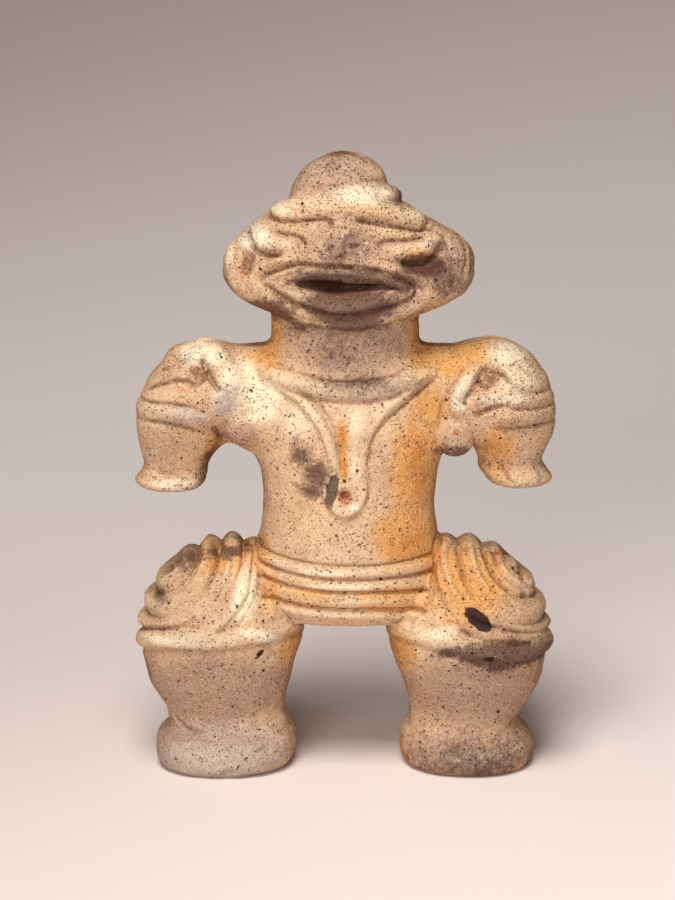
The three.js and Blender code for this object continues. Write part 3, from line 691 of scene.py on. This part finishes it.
def hand_unevenness(points):
    """The slow and quick unevenness of a surface smoothed by hand."""
    return sum(height * soft_noise(points, size, seed) for height, size, seed in UNEVENNESS)


MARKS = all_marks()


def rough_mesh(step):
    """The skin as corners and four-sided faces, one corner in each grid cell that the skin crosses."""
    low = np.array([-90, -38, -1.0])
    high = np.array([90, 38, 253.0])
    axes = [np.arange(low[i], high[i] + step, step) for i in range(3)]
    x, y, z = axes[0][:, None, None], axes[1][None, :, None], axes[2][None, None, :]
    values = skin(x, y, z)
    cells = tuple(n - 1 for n in values.shape)

    def corner(i, j, k):
        return values[i : i + cells[0], j : j + cells[1], k : k + cells[2]]

    total = np.zeros((*cells, 3), np.float32)
    crossings = np.zeros(cells, np.int8)
    for axis in range(3):
        others = [a for a in range(3) if a != axis]
        for first in (0, 1):
            for second in (0, 1):
                start = np.zeros(3, int)
                start[others[0]], start[others[1]] = first, second
                end = start.copy()
                end[axis] = 1
                a, b = corner(*start), corner(*end)
                crossed = (a < 0) != (b < 0)
                share = np.where(crossed, a / np.where(crossed, a - b, 1), 0)
                for part in range(3):
                    total[..., part] += np.where(crossed, start[part] + (share if part == axis else 0), 0)
                crossings += crossed
    active = crossings > 0
    index = np.full(cells, -1)
    index[active] = np.arange(active.sum())
    places = np.argwhere(active)
    corners = low + step * (places + total[active] / crossings[active][:, None])
    faces = []
    for axis in range(3):
        u, v = [(1, 2), (2, 0), (0, 1)][axis]
        ahead = np.zeros(3, int)
        ahead[axis] = 1
        size = np.array(values.shape) - ahead
        a = values[: size[0], : size[1], : size[2]]
        b = values[ahead[0] :, ahead[1] :, ahead[2] :]
        crossed = np.argwhere((a < 0) != (b < 0))
        crossed = crossed[(crossed[:, u] > 0) & (crossed[:, v] > 0)]
        inside_first = a[tuple(crossed.T)] < 0
        ring = []
        for back_u, back_v in ((1, 1), (0, 1), (0, 0), (1, 0)):
            cell = crossed.copy()
            cell[:, u] -= back_u
            cell[:, v] -= back_v
            ring.append(index[tuple(cell.T)])
        ring = np.stack(ring, 1)
        ring[~inside_first] = ring[~inside_first][:, ::-1]
        faces.append(ring)
    return corners, np.concatenate(faces)


def made_mesh(name, corners, faces):
    mesh = bpy.data.meshes.new(name)
    mesh.vertices.add(len(corners))
    mesh.vertices.foreach_set("co", corners.astype(np.float32).ravel())
    mesh.loops.add(faces.size)
    mesh.loops.foreach_set("vertex_index", faces.astype(np.int32).ravel())
    mesh.polygons.add(len(faces))
    mesh.polygons.foreach_set("loop_start", np.arange(0, faces.size, faces.shape[1], dtype=np.int32))
    mesh.update(calc_edges=True)
    mesh.validate()
    return mesh


def with_modifier(mesh, kind, **settings):
    """The mesh after one modifier."""
    thing = bpy.data.objects.new("work", mesh)
    bpy.context.scene.collection.objects.link(thing)
    modifier = thing.modifiers.new("work", kind)
    for name, value in settings.items():
        setattr(modifier, name, value)
    changed = bpy.data.meshes.new_from_object(thing.evaluated_get(bpy.context.evaluated_depsgraph_get()))
    bpy.data.objects.remove(thing)
    bpy.data.meshes.remove(mesh)
    return changed


def corners_of(mesh):
    flat = np.empty(len(mesh.vertices) * 3, np.float32)
    mesh.vertices.foreach_get("co", flat)
    return flat.reshape(-1, 3).astype(float)


def figure_mesh():
    corners, faces = rough_mesh(GRID)
    fine = with_modifier(made_mesh("rough", corners, faces), "SUBSURF", levels=1)
    points, outward = pulled_to_skin(corners_of(fine))
    height = relief(points) + hand_unevenness(points)
    points = points + outward * height[:, None]
    points[:, 2] = np.maximum(points[:, 2], 0)
    fine.vertices.foreach_set("co", (points * MM).astype(np.float32).ravel())
    triangles = 2 * len(fine.polygons)
    light = with_modifier(fine, "DECIMATE", ratio=min(MOST_TRIANGLES / triangles, 1))
    light.polygons.foreach_set("use_smooth", np.ones(len(light.polygons), bool))
    light.name = "figure_of_clay"
    return light


# Tints in the clay, and patches of painted shade and painted highlight, as seen from the front: x, z, half
# width, half height, turn and strength.
TINTS = {
    "ochre": [
        (-31, 176, 7, 14, 0, 1.0), (31, 176, 8, 16, 0, 1.0), (28, 125, 11, 26, 0, 1.0),
        (24, 100, 14, 14, 0, 1.0), (33, 150, 9, 14, 0, 0.8), (42, 167, 10, 7, 0, 0.9),
        (-36, 168, 9, 7, 0, 0.6), (36, 88, 8, 12, 0, 1.1), (50, 80, 16, 14, 0, 1.0),
        (46, 68, 12, 8, 0, 0.6), (-38, 90, 9, 10, 0, 1.0), (-52, 90, 10, 7, 0, 0.9),
        (-29, 76, 5, 10, 0, 1.0), (22, 74, 22, 8, 0, 0.8), (-16, 76, 20, 8, 0, 0.6),
        (60, 132, 8, 12, 0, 0.9), (-52, 132, 5, 14, 10, 0.9), (62, 118, 10, 6, 0, 0.6),
        (-1, 141, 2.4, 7, 0, 1.2), (-0.8, 128, 1.5, 8, 0, 1.1), (28, 211.5, 7, 2.6, 8, 0.9),
        (-18, 108, 12, 12, 0, 0.35), (8, 229, 16, 4, 0, 0.6), (-22, 50, 6, 14, 0, 0.7),
        (22, 50, 8, 16, 0, 0.8), (74, 40, 8, 12, 0, 0.5), (52, 172, 12, 5, 0, 0.8),
        (34, 190, 12, 6, 0, 0.5), (12, 228, 14, 3, 0, 0.6), (-30, 189, 10, 5, 0, 0.6),
        (0, 64, 18, 4, 0, 0.5),
    ],
    "grey": [
        # The first grey blob, at (2, 174) on the neck, is painted shadow under the chin.
        (2, 174, 24, 13, 0, 1.1), (6, 158.5, 28, 5, 0, 1.0), (6, 226, 28, 6, 0, 0.55),
        (50, 10, 26, 10, 0, 0.9), (0, 214, 20, 12, 0, 0.8), (-6, 242, 20, 10, 0, 1.0),
        (43, 204, 10, 13, 0, 0.9), (-47, 202, 5, 10, 0, 0.6), (-44, 140, 11, 6, 0, 1.0),
        (43, 138, 8, 9, 0, 0.6), (14, 158, 18, 5, 0, 0.7), (-66, 66, 18, 12, 0, 0.4),
        (-58, 56, 26, 4, 0, 0.6), (-52, 36, 32, 17, 0, 1.1), (52, 34, 32, 18, 0, 1.1),
        (-72, 130, 12, 12, 0, 0.6), (70, 143, 14, 6, 0, 0.5), (18, 234, 8, 8, 0, 0.8),
        (-20, 199, 12, 8, 0, 0.6), (20, 194, 14, 8, 0, 0.8), (60, 62, 20, 8, 0, 0.5),
        (-70, 144, 10, 4, 0, 0.5), (-16, 66, 16, 4, 0, 0.4), (64, 128, 12, 6, 0, 0.5),
    ],
    # A dark stain round the mouth and chin, and patches of painted shade.
    "stain_and_shade": [
        (0, 202, 24, 4.5, 0, 1.1), (2, 192, 19, 8, 0, 1.15), (2, 186.6, 13, 6, 0, 1.2),
        # The blobs at (2, 175) on the neck and at (-30, 189) under the chin's left side are painted shadow
        # under the chin.
        (2, 175, 18, 13, 0, 0.46), (-1, 214, 9, 10, 0, 0.55), (-30, 189, 14, 6, 0, 0.95),
        (-14, 183, 12, 3, 0, 0.75), (6, 160.5, 27, 5, 0, 0.5), (50, 6, 28, 12, 0, 0.7),
        (-46, 91.5, 16, 3, -8, 0.8), (-62, 88, 4, 3, 0, 0.8), (30, 188, 10, 4, -24, 0.45),
        (-8, 246, 18, 5, 0, 0.4), (22, 232, 4, 4, 0, 0.6), (-22, 238, 4, 8, 0, 0.4),
        (30, 206.5, 11, 4.6, 8, 1.2), (22, 201, 10, 4, 0, 0.9), (40, 202, 8, 9, 0, 0.7),
        (37, 215, 8, 4, 30, 0.5), (-18, 132, 5.5, 6.5, 10, 0.75), (-11, 125, 6, 6, 0, 0.9),
        (-14, 118, 6, 4, 0, 0.7), (49.5, 204, 2.5, 8, 0, 0.5), (46, 55, 13, 3.4, -12, 0.9),
        (56, 53, 13, 5.4, -4, 1.2), (69, 52, 12, 5.4, 6, 1.2), (62, 47.4, 10, 3.4, 0, 0.8),
        (79, 51, 7, 6, 0, 1.0), (66, 57, 12, 3, 10, 0.6), (-66, 86, 4, 3, 20, 0.8),
        (-74, 73, 4, 3, 0, 0.7), (-58, 90, 5, 3, 0, 0.6), (57, 92, 6, 3, 0, 0.6),
        # The blobs at (-54, 128) and (56, 128), where the arms meet the body, are painted shade.
        (-54, 128, 4, 14, 16, 0.7), (56, 128, 3, 10, 0, 0.5), (43.5, 132, 9, 3.6, 0, 0.8),
        (-2, 249, 16, 2, 0, 0.6), (-48.5, 198, 4, 5, 0, 0.5), (-82, 45, 3, 8, 0, 0.5),
    ],
    "ash": [
        (-50, 8, 28, 13, 0, 1.2), (50, 5, 22, 6, 0, 0.5), (-74, 10, 6, 10, 0, 0.9),
        (-66, 118, 14, 4, 0, 0.5), (-64, 148, 16, 5, 6, 0.6), (70, 118, 12, 5, 0, 0.4),
        (-47, 153, 5, 8, 30, 0.9), (-60, 60, 16, 3, 0, 0.5), (-52, 70, 10, 8, 0, 0.4),
        (-16, 204, 12, 3, 0, 0.4), (-62, 168, 10, 5, 0, 0.4), (64, 154, 14, 4, 0, 0.4),
    ],
    "slash": [(-5.4, 118.6, 2.6, 8.2, 12, 1.0)],
    "black": [(52.5, 67.4, 7.2, 3.3, 41, 1.0), (-34.4, 52.4, 3.6, 1.3, -50, 0.8), (57, 51.5, 3, 2, 0, 0.75)],
    "red": [
        (-39.8, 204.5, 1.5, 5.5, 15, 0.6), (-57, 164, 4.0, 6.5, -30, 0.5), (-62, 158, 8, 2.4, 0, 0.4),
        (51.6, 158.5, 2.0, 5, 34, 0.6), (57.0, 163, 7, 8, 30, 0.5), (-0.2, 115.6, 2.6, 2.4, 0, 1.4),
        (61, 87.6, 2.6, 2.2, 0, 1.0), (71, 80.8, 1.8, 2.6, 0, 1.0), (43.6, 140.4, 1.6, 1.4, 0, 0.9),
        (0, 196.6, 14, 1.4, 0, 0.7), (-32, 78, 4, 4, 0, 0.5), (-68, 148, 12, 1.2, 4, 0.4),
    ],
    # Pale patches: mostly painted highlights on the lit shoulders, straps, knee crests, band tops and cuff
    # lip; the rest is pale clay.
    "pale": [
        (-43, 157, 8, 11, 20, 1.4), (-34, 153, 10, 9, 0, 1.1), (-38, 219, 9, 6, 30, 1.1),
        (46, 156, 3.6, 9, 18, 1.0), (-40, 76, 5, 12, 6, 0.9), (-66, 57.6, 16, 2.6, 0, 0.8),
        (-34, 60.4, 10, 2.6, 20, 0.9), (-68, 118, 12, 3, 0, 0.8), (-50, 7, 24, 6, 0, 0.8),
        (50, 8, 18, 5, 0, 0.6), (-57, 171, 9, 5, 0, 1.0), (64, 171, 10, 5, 0, 0.8),
        (6, 234, 12, 4, 0, 0.9), (66, 162, 16, 9, 0, 0.55), (-46, 212, 3, 8, 0, 0.6),
        (62, 154.5, 10, 2.4, 0, 0.9), (4, 146, 5, 8, 0, 0.6), (-18, 146, 10, 10, 0, 0.6),
        (38, 62, 10, 3, -15, 0.7), (4, 128, 3, 8, 0, 0.6), (-10, 85.5, 16, 1.6, 0, 0.7),
        (-4, 80, 22, 1.6, 0, 0.7), (-26, 227.6, 6, 2.6, 0, 0.8), (4, 74, 20, 1.4, 0, 0.5),
        (-63, 148.6, 8, 1.6, 8, 0.9), (52, 98, 3, 3, 0, 0.2), (4, 112, 4, 2, 0, 0.7),
        (-16, 58, 4, 4, 0, 0.3), (68, 118, 10, 4, 0, 0.5),
    ],
}
DIRTY_TOPS = [
    (-44, 141, 9, 6), (0, 214, 46, 26), (64, 156, 20, 14), (0, 244, 24, 12), (20, 230, 14, 8),
    (-66, 168, 16, 6), (72, 162, 14, 10), (42, 134, 10, 7), (44, 212, 10, 14), (58, 50, 20, 8),
    (0, 198, 36, 8), (30, 224, 14, 7),
]

# The mouth, and the front of the face at two heights round it, which bound the painted shade inside the
# mouth.
MOUTH_HEIGHT = 199
MOUTH_HALF_HEIGHT = 5
MOUTH_HALF_WIDTH = 21
MOUTH_BACK = -8
FACE_HEIGHTS = (190, 206)
FACE_FRONT = (-25, -24)


def tint(points, facing, blobs):
    """How strong a tint is at each point. It shows in front and fades round the sides."""
    x, y, z = points.T
    strength = np.zeros(len(points))
    for middle_x, middle_z, half_width, half_height, turn, most in blobs:
        cos, sin = math.cos(math.radians(turn)), math.sin(math.radians(turn))
        dx, dz = x - middle_x, z - middle_z
        across = (dx * cos - dz * sin) / half_width
        up = (dx * sin + dz * cos) / half_height
        strength = np.maximum(strength, most * np.exp(-((across**2 + up**2) ** 1.2) * 0.9))
    return strength * smoothstep(facing, -0.35, 0.25)


def add_values(mesh):
    """What the finish reads at each corner: the tints, some of them painted shade and painted highlight, the
    painted shade in grooves, toward the sides and inside the mouth, the painted highlight on crests, and the
    density of the grit.
    """
    points = corners_of(mesh) / MM
    skin_points, outward = pulled_to_skin(points, longest=4)
    height = ((points - skin_points) * outward).sum(1)
    values = {name: tint(points, -outward[:, 1], blobs) for name, blobs in TINTS.items()}
    # Painted shade in the grooves and pressed lines, where the skin sinks below its surface.
    values["groove"] = smoothstep(-height, 0.25, 1.7)
    # Painted shade on skin that turns away from the front, darker toward the silhouette.
    values["side"] = 1 - smoothstep(np.abs(outward[:, 1]), 0.1, 0.75)
    # Painted highlight on the crests of the raised relief.
    values["crest"] = smoothstep(height, 0.6, 2.2)
    values["grit"] = np.zeros(len(points))
    for x, z, half_width, half_height in DIRTY_TOPS:
        blob = ((points[:, 0] - x) / half_width) ** 2 + ((points[:, 2] - z) / half_height) ** 2
        values["grit"] = np.maximum(values["grit"], np.exp(-blob))
    face_front = np.interp(points[:, 2], FACE_HEIGHTS, FACE_FRONT)
    # Painted shade on the clay inside the mouth, behind the face's front.
    values["inside"] = smoothstep(points[:, 1] - face_front, 2, 7)
    in_mouth = np.abs(points[:, 2] - MOUTH_HEIGHT) < MOUTH_HALF_HEIGHT
    values["inside"] *= (np.abs(points[:, 0]) < MOUTH_HALF_WIDTH) * in_mouth * (points[:, 1] < MOUTH_BACK)
    for name, value in values.items():
        layer = mesh.attributes.new(name, "FLOAT", "POINT")
        layer.data.foreach_set("value", value.astype(np.float32))


def display(red, green, blue):
    """A colour given as it shows on a screen, from 0 to 255, for a shader."""
    parts = (red, green, blue)
    return tuple(((c / 255 + 0.055) / 1.055) ** 2.4 if c > 10 else c / 3295 for c in parts) + (1,)


BUFF = display(224, 190, 152)
TAN = display(210, 171, 133)
DUSKY_CLAY = display(188, 146, 118)
OCHRE = display(220, 156, 80)
RUST = display(200, 116, 46)
# Grey clay, and the colour of painted shadow under the chin.
GREY_CLAY_AND_SHADE = display(170, 138, 118)
# Pale clay, and the colour of painted highlights.
CREAM_AND_HIGHLIGHT = display(250, 234, 202)
ASH = display(174, 155, 145)
RED_EARTH = display(190, 92, 50)
# The colour of the painted shade toward the sides.
SIDE_SHADE_BROWN = display(142, 90, 54)
MOTTLE_BROWN = display(160, 114, 82)
GRAIN_BROWN = display(128, 88, 60)
GRAIN_PALE = display(250, 234, 204)
# The colour of the painted highlight on crests.
CREST_HIGHLIGHT = display(246, 228, 192)
# The colour of the painted shade in grooves.
GROOVE_SHADE = display(104, 62, 36)
# Dark stain, also used for painted shade.
STAIN_AND_SHADE = display(78, 46, 42)
SOOT = display(44, 22, 26)
# The colour of the painted shade inside the mouth.
MOUTH_SHADE = display(60, 24, 16)
LIGHT_SPECK = display(252, 240, 220)
BROWN_SPECK = display(92, 54, 36)
DARK_SPECK = display(50, 28, 24)


class Value:
    """One output of the finish's nodes. Sums, products and so on of values add Math nodes."""

    def __init__(self, finish, socket):
        self.finish = finish
        self.socket = socket

    def __add__(self, other):
        return self.finish.maths("ADD", self, other)

    def __sub__(self, other):
        return self.finish.maths("SUBTRACT", self, other)

    def __rsub__(self, other):
        return self.finish.maths("SUBTRACT", other, self)

    def __mul__(self, other):
        return self.finish.maths("MULTIPLY", self, other)

    def output(self, name):
        """Another output of the same node."""
        return Value(self.finish, self.socket.node.outputs[name])

    __radd__ = __add__
    __rmul__ = __mul__


class Finish:
    """A material, and the nodes that are added to it."""

    def __init__(self, name):
        self.material = bpy.data.materials.new(name)
        self.material.use_nodes = True
        self.tree = self.material.node_tree
        self.shader = self.tree.nodes["Principled BSDF"]

    def node(self, kind, settings=None, sockets=None, output=0):
        """Adds a node: its settings first, then the values or links of its sockets."""
        made = self.tree.nodes.new(kind)
        for name, value in (settings or {}).items():
            setattr(made, name, value)
        for name, value in (sockets or {}).items():
            self.feed(made.inputs[name], value)
        return Value(self, made.outputs[output])

    def feed(self, socket, value):
        if isinstance(value, Value):
            self.tree.links.new(value.socket, socket)
        else:
            socket.default_value = value

    def maths(self, operation, first, second):
        return self.node("ShaderNodeMath", {"operation": operation}, {0: first, 1: second})

    def between(self, value, low, high):
        """0 below low, 1 above high, and a soft step between them."""
        settings = {"interpolation_type": "SMOOTHSTEP"}
        return self.node("ShaderNodeMapRange", settings, {"Value": value, "From Min": low, "From Max": high})

    def mixed(self, share, first, second, blend="MIX"):
        settings = {"data_type": "RGBA", "blend_type": blend}
        return self.node("ShaderNodeMix", settings, {0: share, 6: first, 7: second}, output=2)

    def value_of(self, layer):
        return self.node("ShaderNodeAttribute", {"attribute_name": layer}, output=2)

    def noise(self, place, scale, detail=4.0, roughness=0.55, output=0):
        sockets = {"Vector": place, "Scale": scale, "Detail": detail, "Roughness": roughness}
        return self.node("ShaderNodeTexNoise", {}, sockets, output)

    def grains(self, place, cell, smallest, largest, share):
        """Specks: their centres lie in cells, and each has its own radius, in metres."""
        specks = self.node("ShaderNodeTexVoronoi", {}, {"Vector": place, "Scale": 1 / cell})
        chance = self.node("ShaderNodeSeparateColor", {}, {0: specks.output("Color")})
        there = self.maths("LESS_THAN", chance.output("Green"), share)
        radius = chance * ((largest - smallest) / cell) + smallest / cell
        return self.between(radius - specks, 0.0, 0.35 * largest / cell) * there


VALUES = (
    "ochre", "grey", "ash", "stain_and_shade", "slash", "black", "red", "pale",
    "groove", "crest", "side", "grit", "inside",
)


def clay_finish():
    clay = Finish("fired_clay_unglazed")
    place = clay.node("ShaderNodeTexCoord", {}, {}, output=3)
    (ochre, grey, ash, stain_and_shade, slash, black, red, pale,
     groove, crest, side, grit, inside) = map(clay.value_of, VALUES)
    broad = clay.noise(place, 28, 3)
    cloudy = clay.noise(place, 90, 5, 0.62)
    mottle = clay.noise(place, 420, 4, 0.65)
    fine = clay.noise(place, 1400, 3, 0.7)
    middle = clay.node("ShaderNodeVectorMath", {"operation": "SUBTRACT"},
                       {0: clay.noise(place, 900, 2).output("Color"), 1: (0.5, 0.5, 0.5)})
    wander = clay.node("ShaderNodeVectorMath", {"operation": "SCALE"}, {0: middle, "Scale": 0.0013})
    torn = clay.node("ShaderNodeVectorMath", {"operation": "ADD"}, {0: place, 1: wander})

    def patch(value, ragged=0.55):
        """A tint's mask with ragged, cloudy edges."""
        return clay.between(value + (cloudy - 0.5) * ragged + (mottle - 0.5) * ragged, 0.18, 0.8)

    colour = clay.mixed(clay.between(broad, 0.35, 0.65), BUFF, TAN)
    colour = clay.mixed(clay.between(cloudy, 0.4, 0.72) * 0.5, colour, DUSKY_CLAY)
    colour = clay.mixed(patch(ochre, 0.4) * 0.85, colour, OCHRE)
    colour = clay.mixed(clay.between(ochre * cloudy, 0.38, 0.62) * 0.6, colour, RUST)
    # Grey clay and the painted shadow under the chin.
    colour = clay.mixed(patch(grey, 0.5) * 0.75, colour, GREY_CLAY_AND_SHADE)
    # Pale clay and painted highlights.
    colour = clay.mixed(patch(pale, 0.4) * 0.85, colour, CREAM_AND_HIGHLIGHT)
    colour = clay.mixed(patch(ash, 0.4) * 0.8, colour, ASH)
    colour = clay.mixed(patch(red, 0.4) * 0.8, colour, RED_EARTH)
    # Painted shade where the skin turns toward the sides.
    colour = clay.mixed(side * clay.between(cloudy, 0.25, 0.65) * 0.55, colour, SIDE_SHADE_BROWN)
    colour = clay.mixed(clay.between(mottle, 0.45, 0.75) * 0.4, colour, MOTTLE_BROWN)
    colour = clay.mixed(clay.between(fine, 0.48, 0.72) * 0.5, colour, GRAIN_BROWN)
    colour = clay.mixed(clay.between(fine, 0.46, 0.3) * 0.35, colour, GRAIN_PALE)
    # Painted highlight on crests.
    colour = clay.mixed(crest * 0.25, colour, CREST_HIGHLIGHT)
    # Painted shade in the grooves.
    colour = clay.mixed(groove * clay.between(mottle, 0.2, 0.6) * 0.7, colour, GROOVE_SHADE)
    # Dark stain and painted shade.
    colour = clay.mixed(patch(stain_and_shade, 0.9) * 0.8, colour, STAIN_AND_SHADE)
    dark = clay.maths("MAXIMUM", clay.between(slash + (mottle - 0.5) * 0.7, 0.4, 0.6) * 0.8,
                      clay.between(black + (mottle - 0.5) * 0.4, 0.4, 0.55) * 0.95)
    colour = clay.mixed(dark, colour, SOOT)
    # Painted shade inside the mouth.
    colour = clay.mixed(inside * 0.9, colour, MOUTH_SHADE)

    gathered = clay.between(clay.noise(place, 150, 3, 0.6), 0.36, 0.68)
    small = clay.grains(torn, 0.0009, 0.00016, 0.00038, 0.35 + gathered * 0.6)
    middling = clay.grains(torn, 0.0018, 0.00028, 0.0006, 0.15 + gathered * 0.6)
    large = clay.grains(torn, 0.0052, 0.0005, 0.00095, 0.16)
    dense = clay.grains(torn, 0.0012, 0.00022, 0.0005, 0.9) * grit
    light = clay.grains(torn, 0.0030, 0.0002, 0.00045, 0.45)
    colour = clay.mixed(light * 0.55, colour, LIGHT_SPECK)
    colour = clay.mixed(clay.maths("MAXIMUM", small * 0.66, dense * 0.85), colour, BROWN_SPECK)
    colour = clay.mixed(clay.maths("MAXIMUM", middling * 0.8, large * 0.92), colour, DARK_SPECK)
    clay.feed(clay.shader.inputs["Base Color"], colour)

    clay.feed(clay.shader.inputs["Roughness"], 0.86 + mottle * 0.14)
    height = mottle * 0.7 + fine * 0.4 + cloudy * 0.4
    height = height - small * 0.4 - middling * 0.7 - large * 0.9 - dense * 0.45
    bump = clay.node("ShaderNodeBump", {}, {"Strength": 1.0, "Distance": 0.0009, "Height": height})
    clay.feed(clay.shader.inputs["Normal"], bump)
    clay.shader.inputs["Specular IOR Level"].default_value = 0.15
    return clay.material


def build_figure():
    mesh = figure_mesh()
    add_values(mesh)
    mesh.materials.append(clay_finish())
    figure = bpy.data.objects.new("clay_figure", mesh)
    bpy.context.scene.collection.objects.link(figure)
    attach(figure, "root")
    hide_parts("figure")
    return figure


# The camera stands in front, a metre away, and looks a little down.
CAMERA_DISTANCE = 1.0
CAMERA_ELEVATION = math.radians(12)
CAMERA_AIM = Vector((-0.0032, 0, 0.1295))
CAMERA_LENS = 99.3


def add_camera():
    data = bpy.data.cameras.new("camera")
    data.lens = CAMERA_LENS
    camera = bpy.data.objects.new("camera", data)
    back = Vector((0, -math.cos(CAMERA_ELEVATION), math.sin(CAMERA_ELEVATION)))
    camera.location = CAMERA_AIM + back * CAMERA_DISTANCE
    camera.rotation_euler = (-back).to_track_quat("-Z", "Y").to_euler()
    bpy.context.scene.collection.objects.link(camera)
    bpy.context.scene.camera = camera


def add_light(name, place, size, power, colour=(1, 1, 1), aim=(0, 0, 0.12)):
    data = bpy.data.lights.new(name, "AREA")
    data.shape = "RECTANGLE"
    data.size, data.size_y = size
    data.energy = power
    data.color = colour
    light = bpy.data.objects.new(name, data)
    light.location = place
    light.rotation_euler = (Vector(aim) - Vector(place)).to_track_quat("-Z", "Y").to_euler()
    bpy.context.scene.collection.objects.link(light)


# The paper behind and under the figure, in metres.
FLOOR_FRONT = -1.6
FLOOR_HALF_WIDTH = 2.2
BEND_START = 0.55
BEND_RADIUS = 0.95
BEND_STEPS = 16
WALL_TOP = 1.9


def add_studio():
    """A pale floor that curves up into a wall, and soft lights. The paper's colour holds painted light
    falloff: darker up the wall and to the left, lighter on the floor behind the figure.
    """
    profile = [(FLOOR_FRONT, 0.0), (BEND_START, 0.0)]
    for step in range(1, BEND_STEPS + 1):
        angle = step / BEND_STEPS * math.pi / 2
        profile.append((BEND_START + BEND_RADIUS * math.sin(angle), BEND_RADIUS * (1 - math.cos(angle))))
    profile.append((BEND_START + BEND_RADIUS, WALL_TOP))
    corners = [(x, y, z) for y, z in profile for x in (-FLOOR_HALF_WIDTH, FLOOR_HALF_WIDTH)]
    faces = [(2 * i, 2 * i + 1, 2 * i + 3, 2 * i + 2) for i in range(len(profile) - 1)]
    mesh = bpy.data.meshes.new("studio_floor")
    mesh.from_pydata(corners, [], faces)
    mesh.polygons.foreach_set("use_smooth", [True] * len(faces))
    floor = bpy.data.objects.new("studio_floor", mesh)
    bpy.context.scene.collection.objects.link(floor)
    paper = Finish("backdrop_paper")
    place = paper.node("ShaderNodeTexCoord", {}, {}, output=3)
    x, y, z = (paper.node("ShaderNodeSeparateXYZ", {}, {0: place}, output=i) for i in range(3))
    # Painted light falloff on the paper: darker up the wall and to the left, lighter on the floor behind the
    # figure.
    along = y + z * 1.3 - x * 0.5
    near = paper.mixed(paper.between(x, -0.45, 0.45), display(220, 204, 199), display(255, 241, 236))
    near = paper.mixed(paper.between(y, 0.1, 0.6), near, display(255, 244, 239))
    colour = paper.mixed(paper.between(along, 0.65, 2.0), near, display(188, 170, 162))
    paper.feed(paper.shader.inputs["Base Color"], colour)
    paper.shader.inputs["Roughness"].default_value = 0.9
    mesh.materials.append(paper.material)
    add_light("key", (-0.16, -0.6, 1.3), (0.6, 0.6), 16.5, (1, 0.99, 0.975))
    add_light("front", (-0.3, -1.2, 0.5), (0.6, 0.6), 9.0, (1, 0.98, 0.96))
    world = bpy.data.worlds.new("studio_air")
    world.use_nodes = True
    world.node_tree.nodes["Background"].inputs["Color"].default_value = (0.93, 0.9, 0.88, 1)
    world.node_tree.nodes["Background"].inputs["Strength"].default_value = 0.09
    bpy.context.scene.world = world
    bpy.context.scene.view_settings.view_transform = "Standard"


add_camera()
add_studio()
build_figure()
